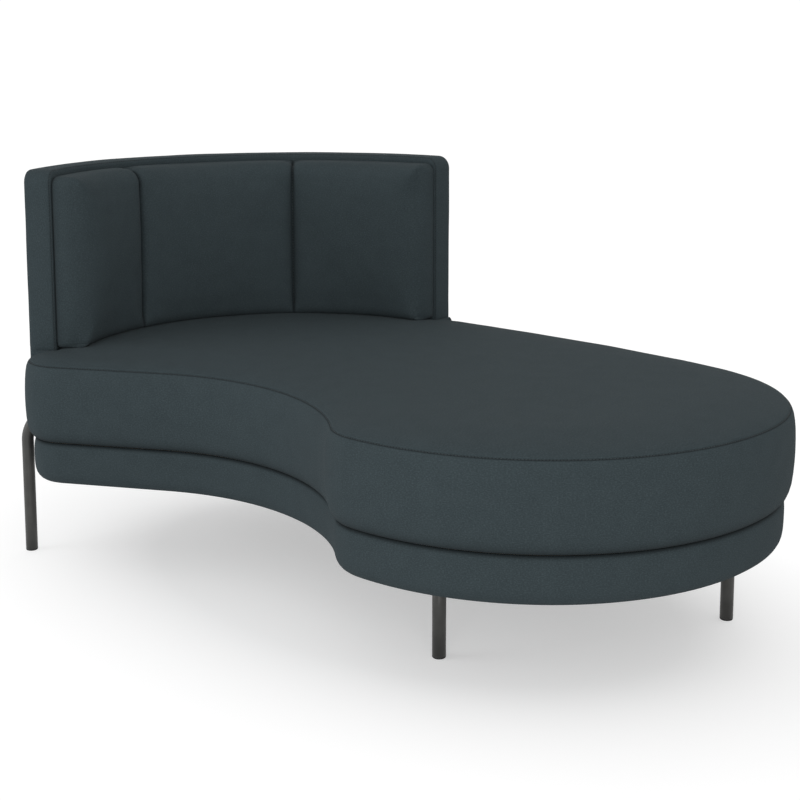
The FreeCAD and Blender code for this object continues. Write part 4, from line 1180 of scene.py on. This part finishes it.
# ---------------------------------------------------------------- finish of the solids that stay
slots = {entry["node"]: entry["material_slot"] for entry in frame["record"]["subparts"]}
finishes = {"timber": plywood, "leg_paint": leg_coat, "glide": glide_plastic,
            "dust_cloth": glide_plastic}
for name, node in frame["nodes"].items():
    if slots[name] in finishes:
        for item in node.material_slots:
            item.material = finishes[slots[name]]


# ---------------------------------------------------------------- stage, light and camera
def camera_only(tree, seen, lit, kind):
    """Shows one shader to the camera and to mirrors, and lights the object with another."""
    rays = add(tree, "ShaderNodeLightPath").outputs
    shown = math_node(tree, "MAXIMUM", rays["Is Camera Ray"], rays["Is Glossy Ray"])
    shown = math_node(tree, "MAXIMUM", shown, rays["Is Transmission Ray"])
    mix = add(tree, "ShaderNodeMixShader", {0: shown, 1: lit, 2: seen})
    add(tree, kind, {"Surface": mix.outputs[0]})


def soft_light(name, place, aim, size, power, tint=(1, 1, 1)):
    """A round soft lamp that points at a place."""
    data = give(bpy.data.lights.new(name, "AREA"), shape="DISK", size=size, energy=power, color=tint)
    turn = (Vector(aim) - Vector(place)).to_track_quat("-Z", "Y").to_euler()
    give(into_scene(name, data), location=place, rotation_euler=turn)


FLOOR_HALF, PAPER_WHITE = 14, 1.05
floor_mesh = bpy.data.meshes.new("floor")
floor_mesh.from_pydata([(FLOOR_HALF * a, FLOOR_HALF * b, 0) for a, b in
                        ((-1, -1), (1, -1), (1, 1), (-1, 1))], [], [(0, 1, 2, 3)])
floor = into_scene("floor", floor_mesh)
pale_floor, tree, place = new_material("pale_floor")
matt = add(tree, "ShaderNodeBsdfDiffuse", {"Color": (0.74, 0.74, 0.74, 1)}).outputs[0]
lift = add(tree, "ShaderNodeEmission", {"Strength": 0.39}).outputs[0]
near = add(tree, "ShaderNodeAddShader", {0: matt, 1: lift}).outputs[0]
# The floor turns plain white away from the chaise, like a paper sweep.
paper = add(tree, "ShaderNodeEmission", {"Strength": PAPER_WHITE}).outputs[0]
span = add(tree, "ShaderNodeVectorMath", {0: scaled(tree, place, (0.62, 1.0, 1.0))},
           operation="LENGTH")
far_share = spread(tree, span.outputs["Value"], 0.38, 0.80, 0.0, 1.0)
sweep = add(tree, "ShaderNodeMixShader", {0: far_share, 1: near, 2: paper}).outputs[0]
camera_only(tree, sweep, matt, "ShaderNodeOutputMaterial")
floor_mesh.materials.append(pale_floor)

world = bpy.data.worlds.new("studio")
bpy.context.scene.world = world
world.use_nodes = True
tree = world.node_tree
tree.nodes.clear()
ambient, white = (add(tree, "ShaderNodeBackground", {"Color": (1, 1, 1, 1), "Strength": strength})
                  for strength in (0.66, PAPER_WHITE))
camera_only(tree, white.outputs[0], ambient.outputs[0], "ShaderNodeOutputWorld")

soft_light("left_window", (-2.4, -3.0, 1.1), (0.0, 0.0, 0.4), 2.2, 30, (0.94, 0.97, 1.0))
soft_light("front_fill", (2.3, -2.8, 1.2), (0.1, 0.0, 0.45), 2.4, 36)

camera_data = give(bpy.data.cameras.new("camera"), lens=65.542, sensor_width=36.0, shift_y=-0.18)
camera = give(into_scene("camera", camera_data), location=(1.8530, -2.1354, 1.0900),
              rotation_euler=(math.radians(90 - 8.5762), 0, math.radians(41.0502)))
bpy.context.scene.camera = camera
bpy.context.scene.view_settings.view_transform = "Standard"
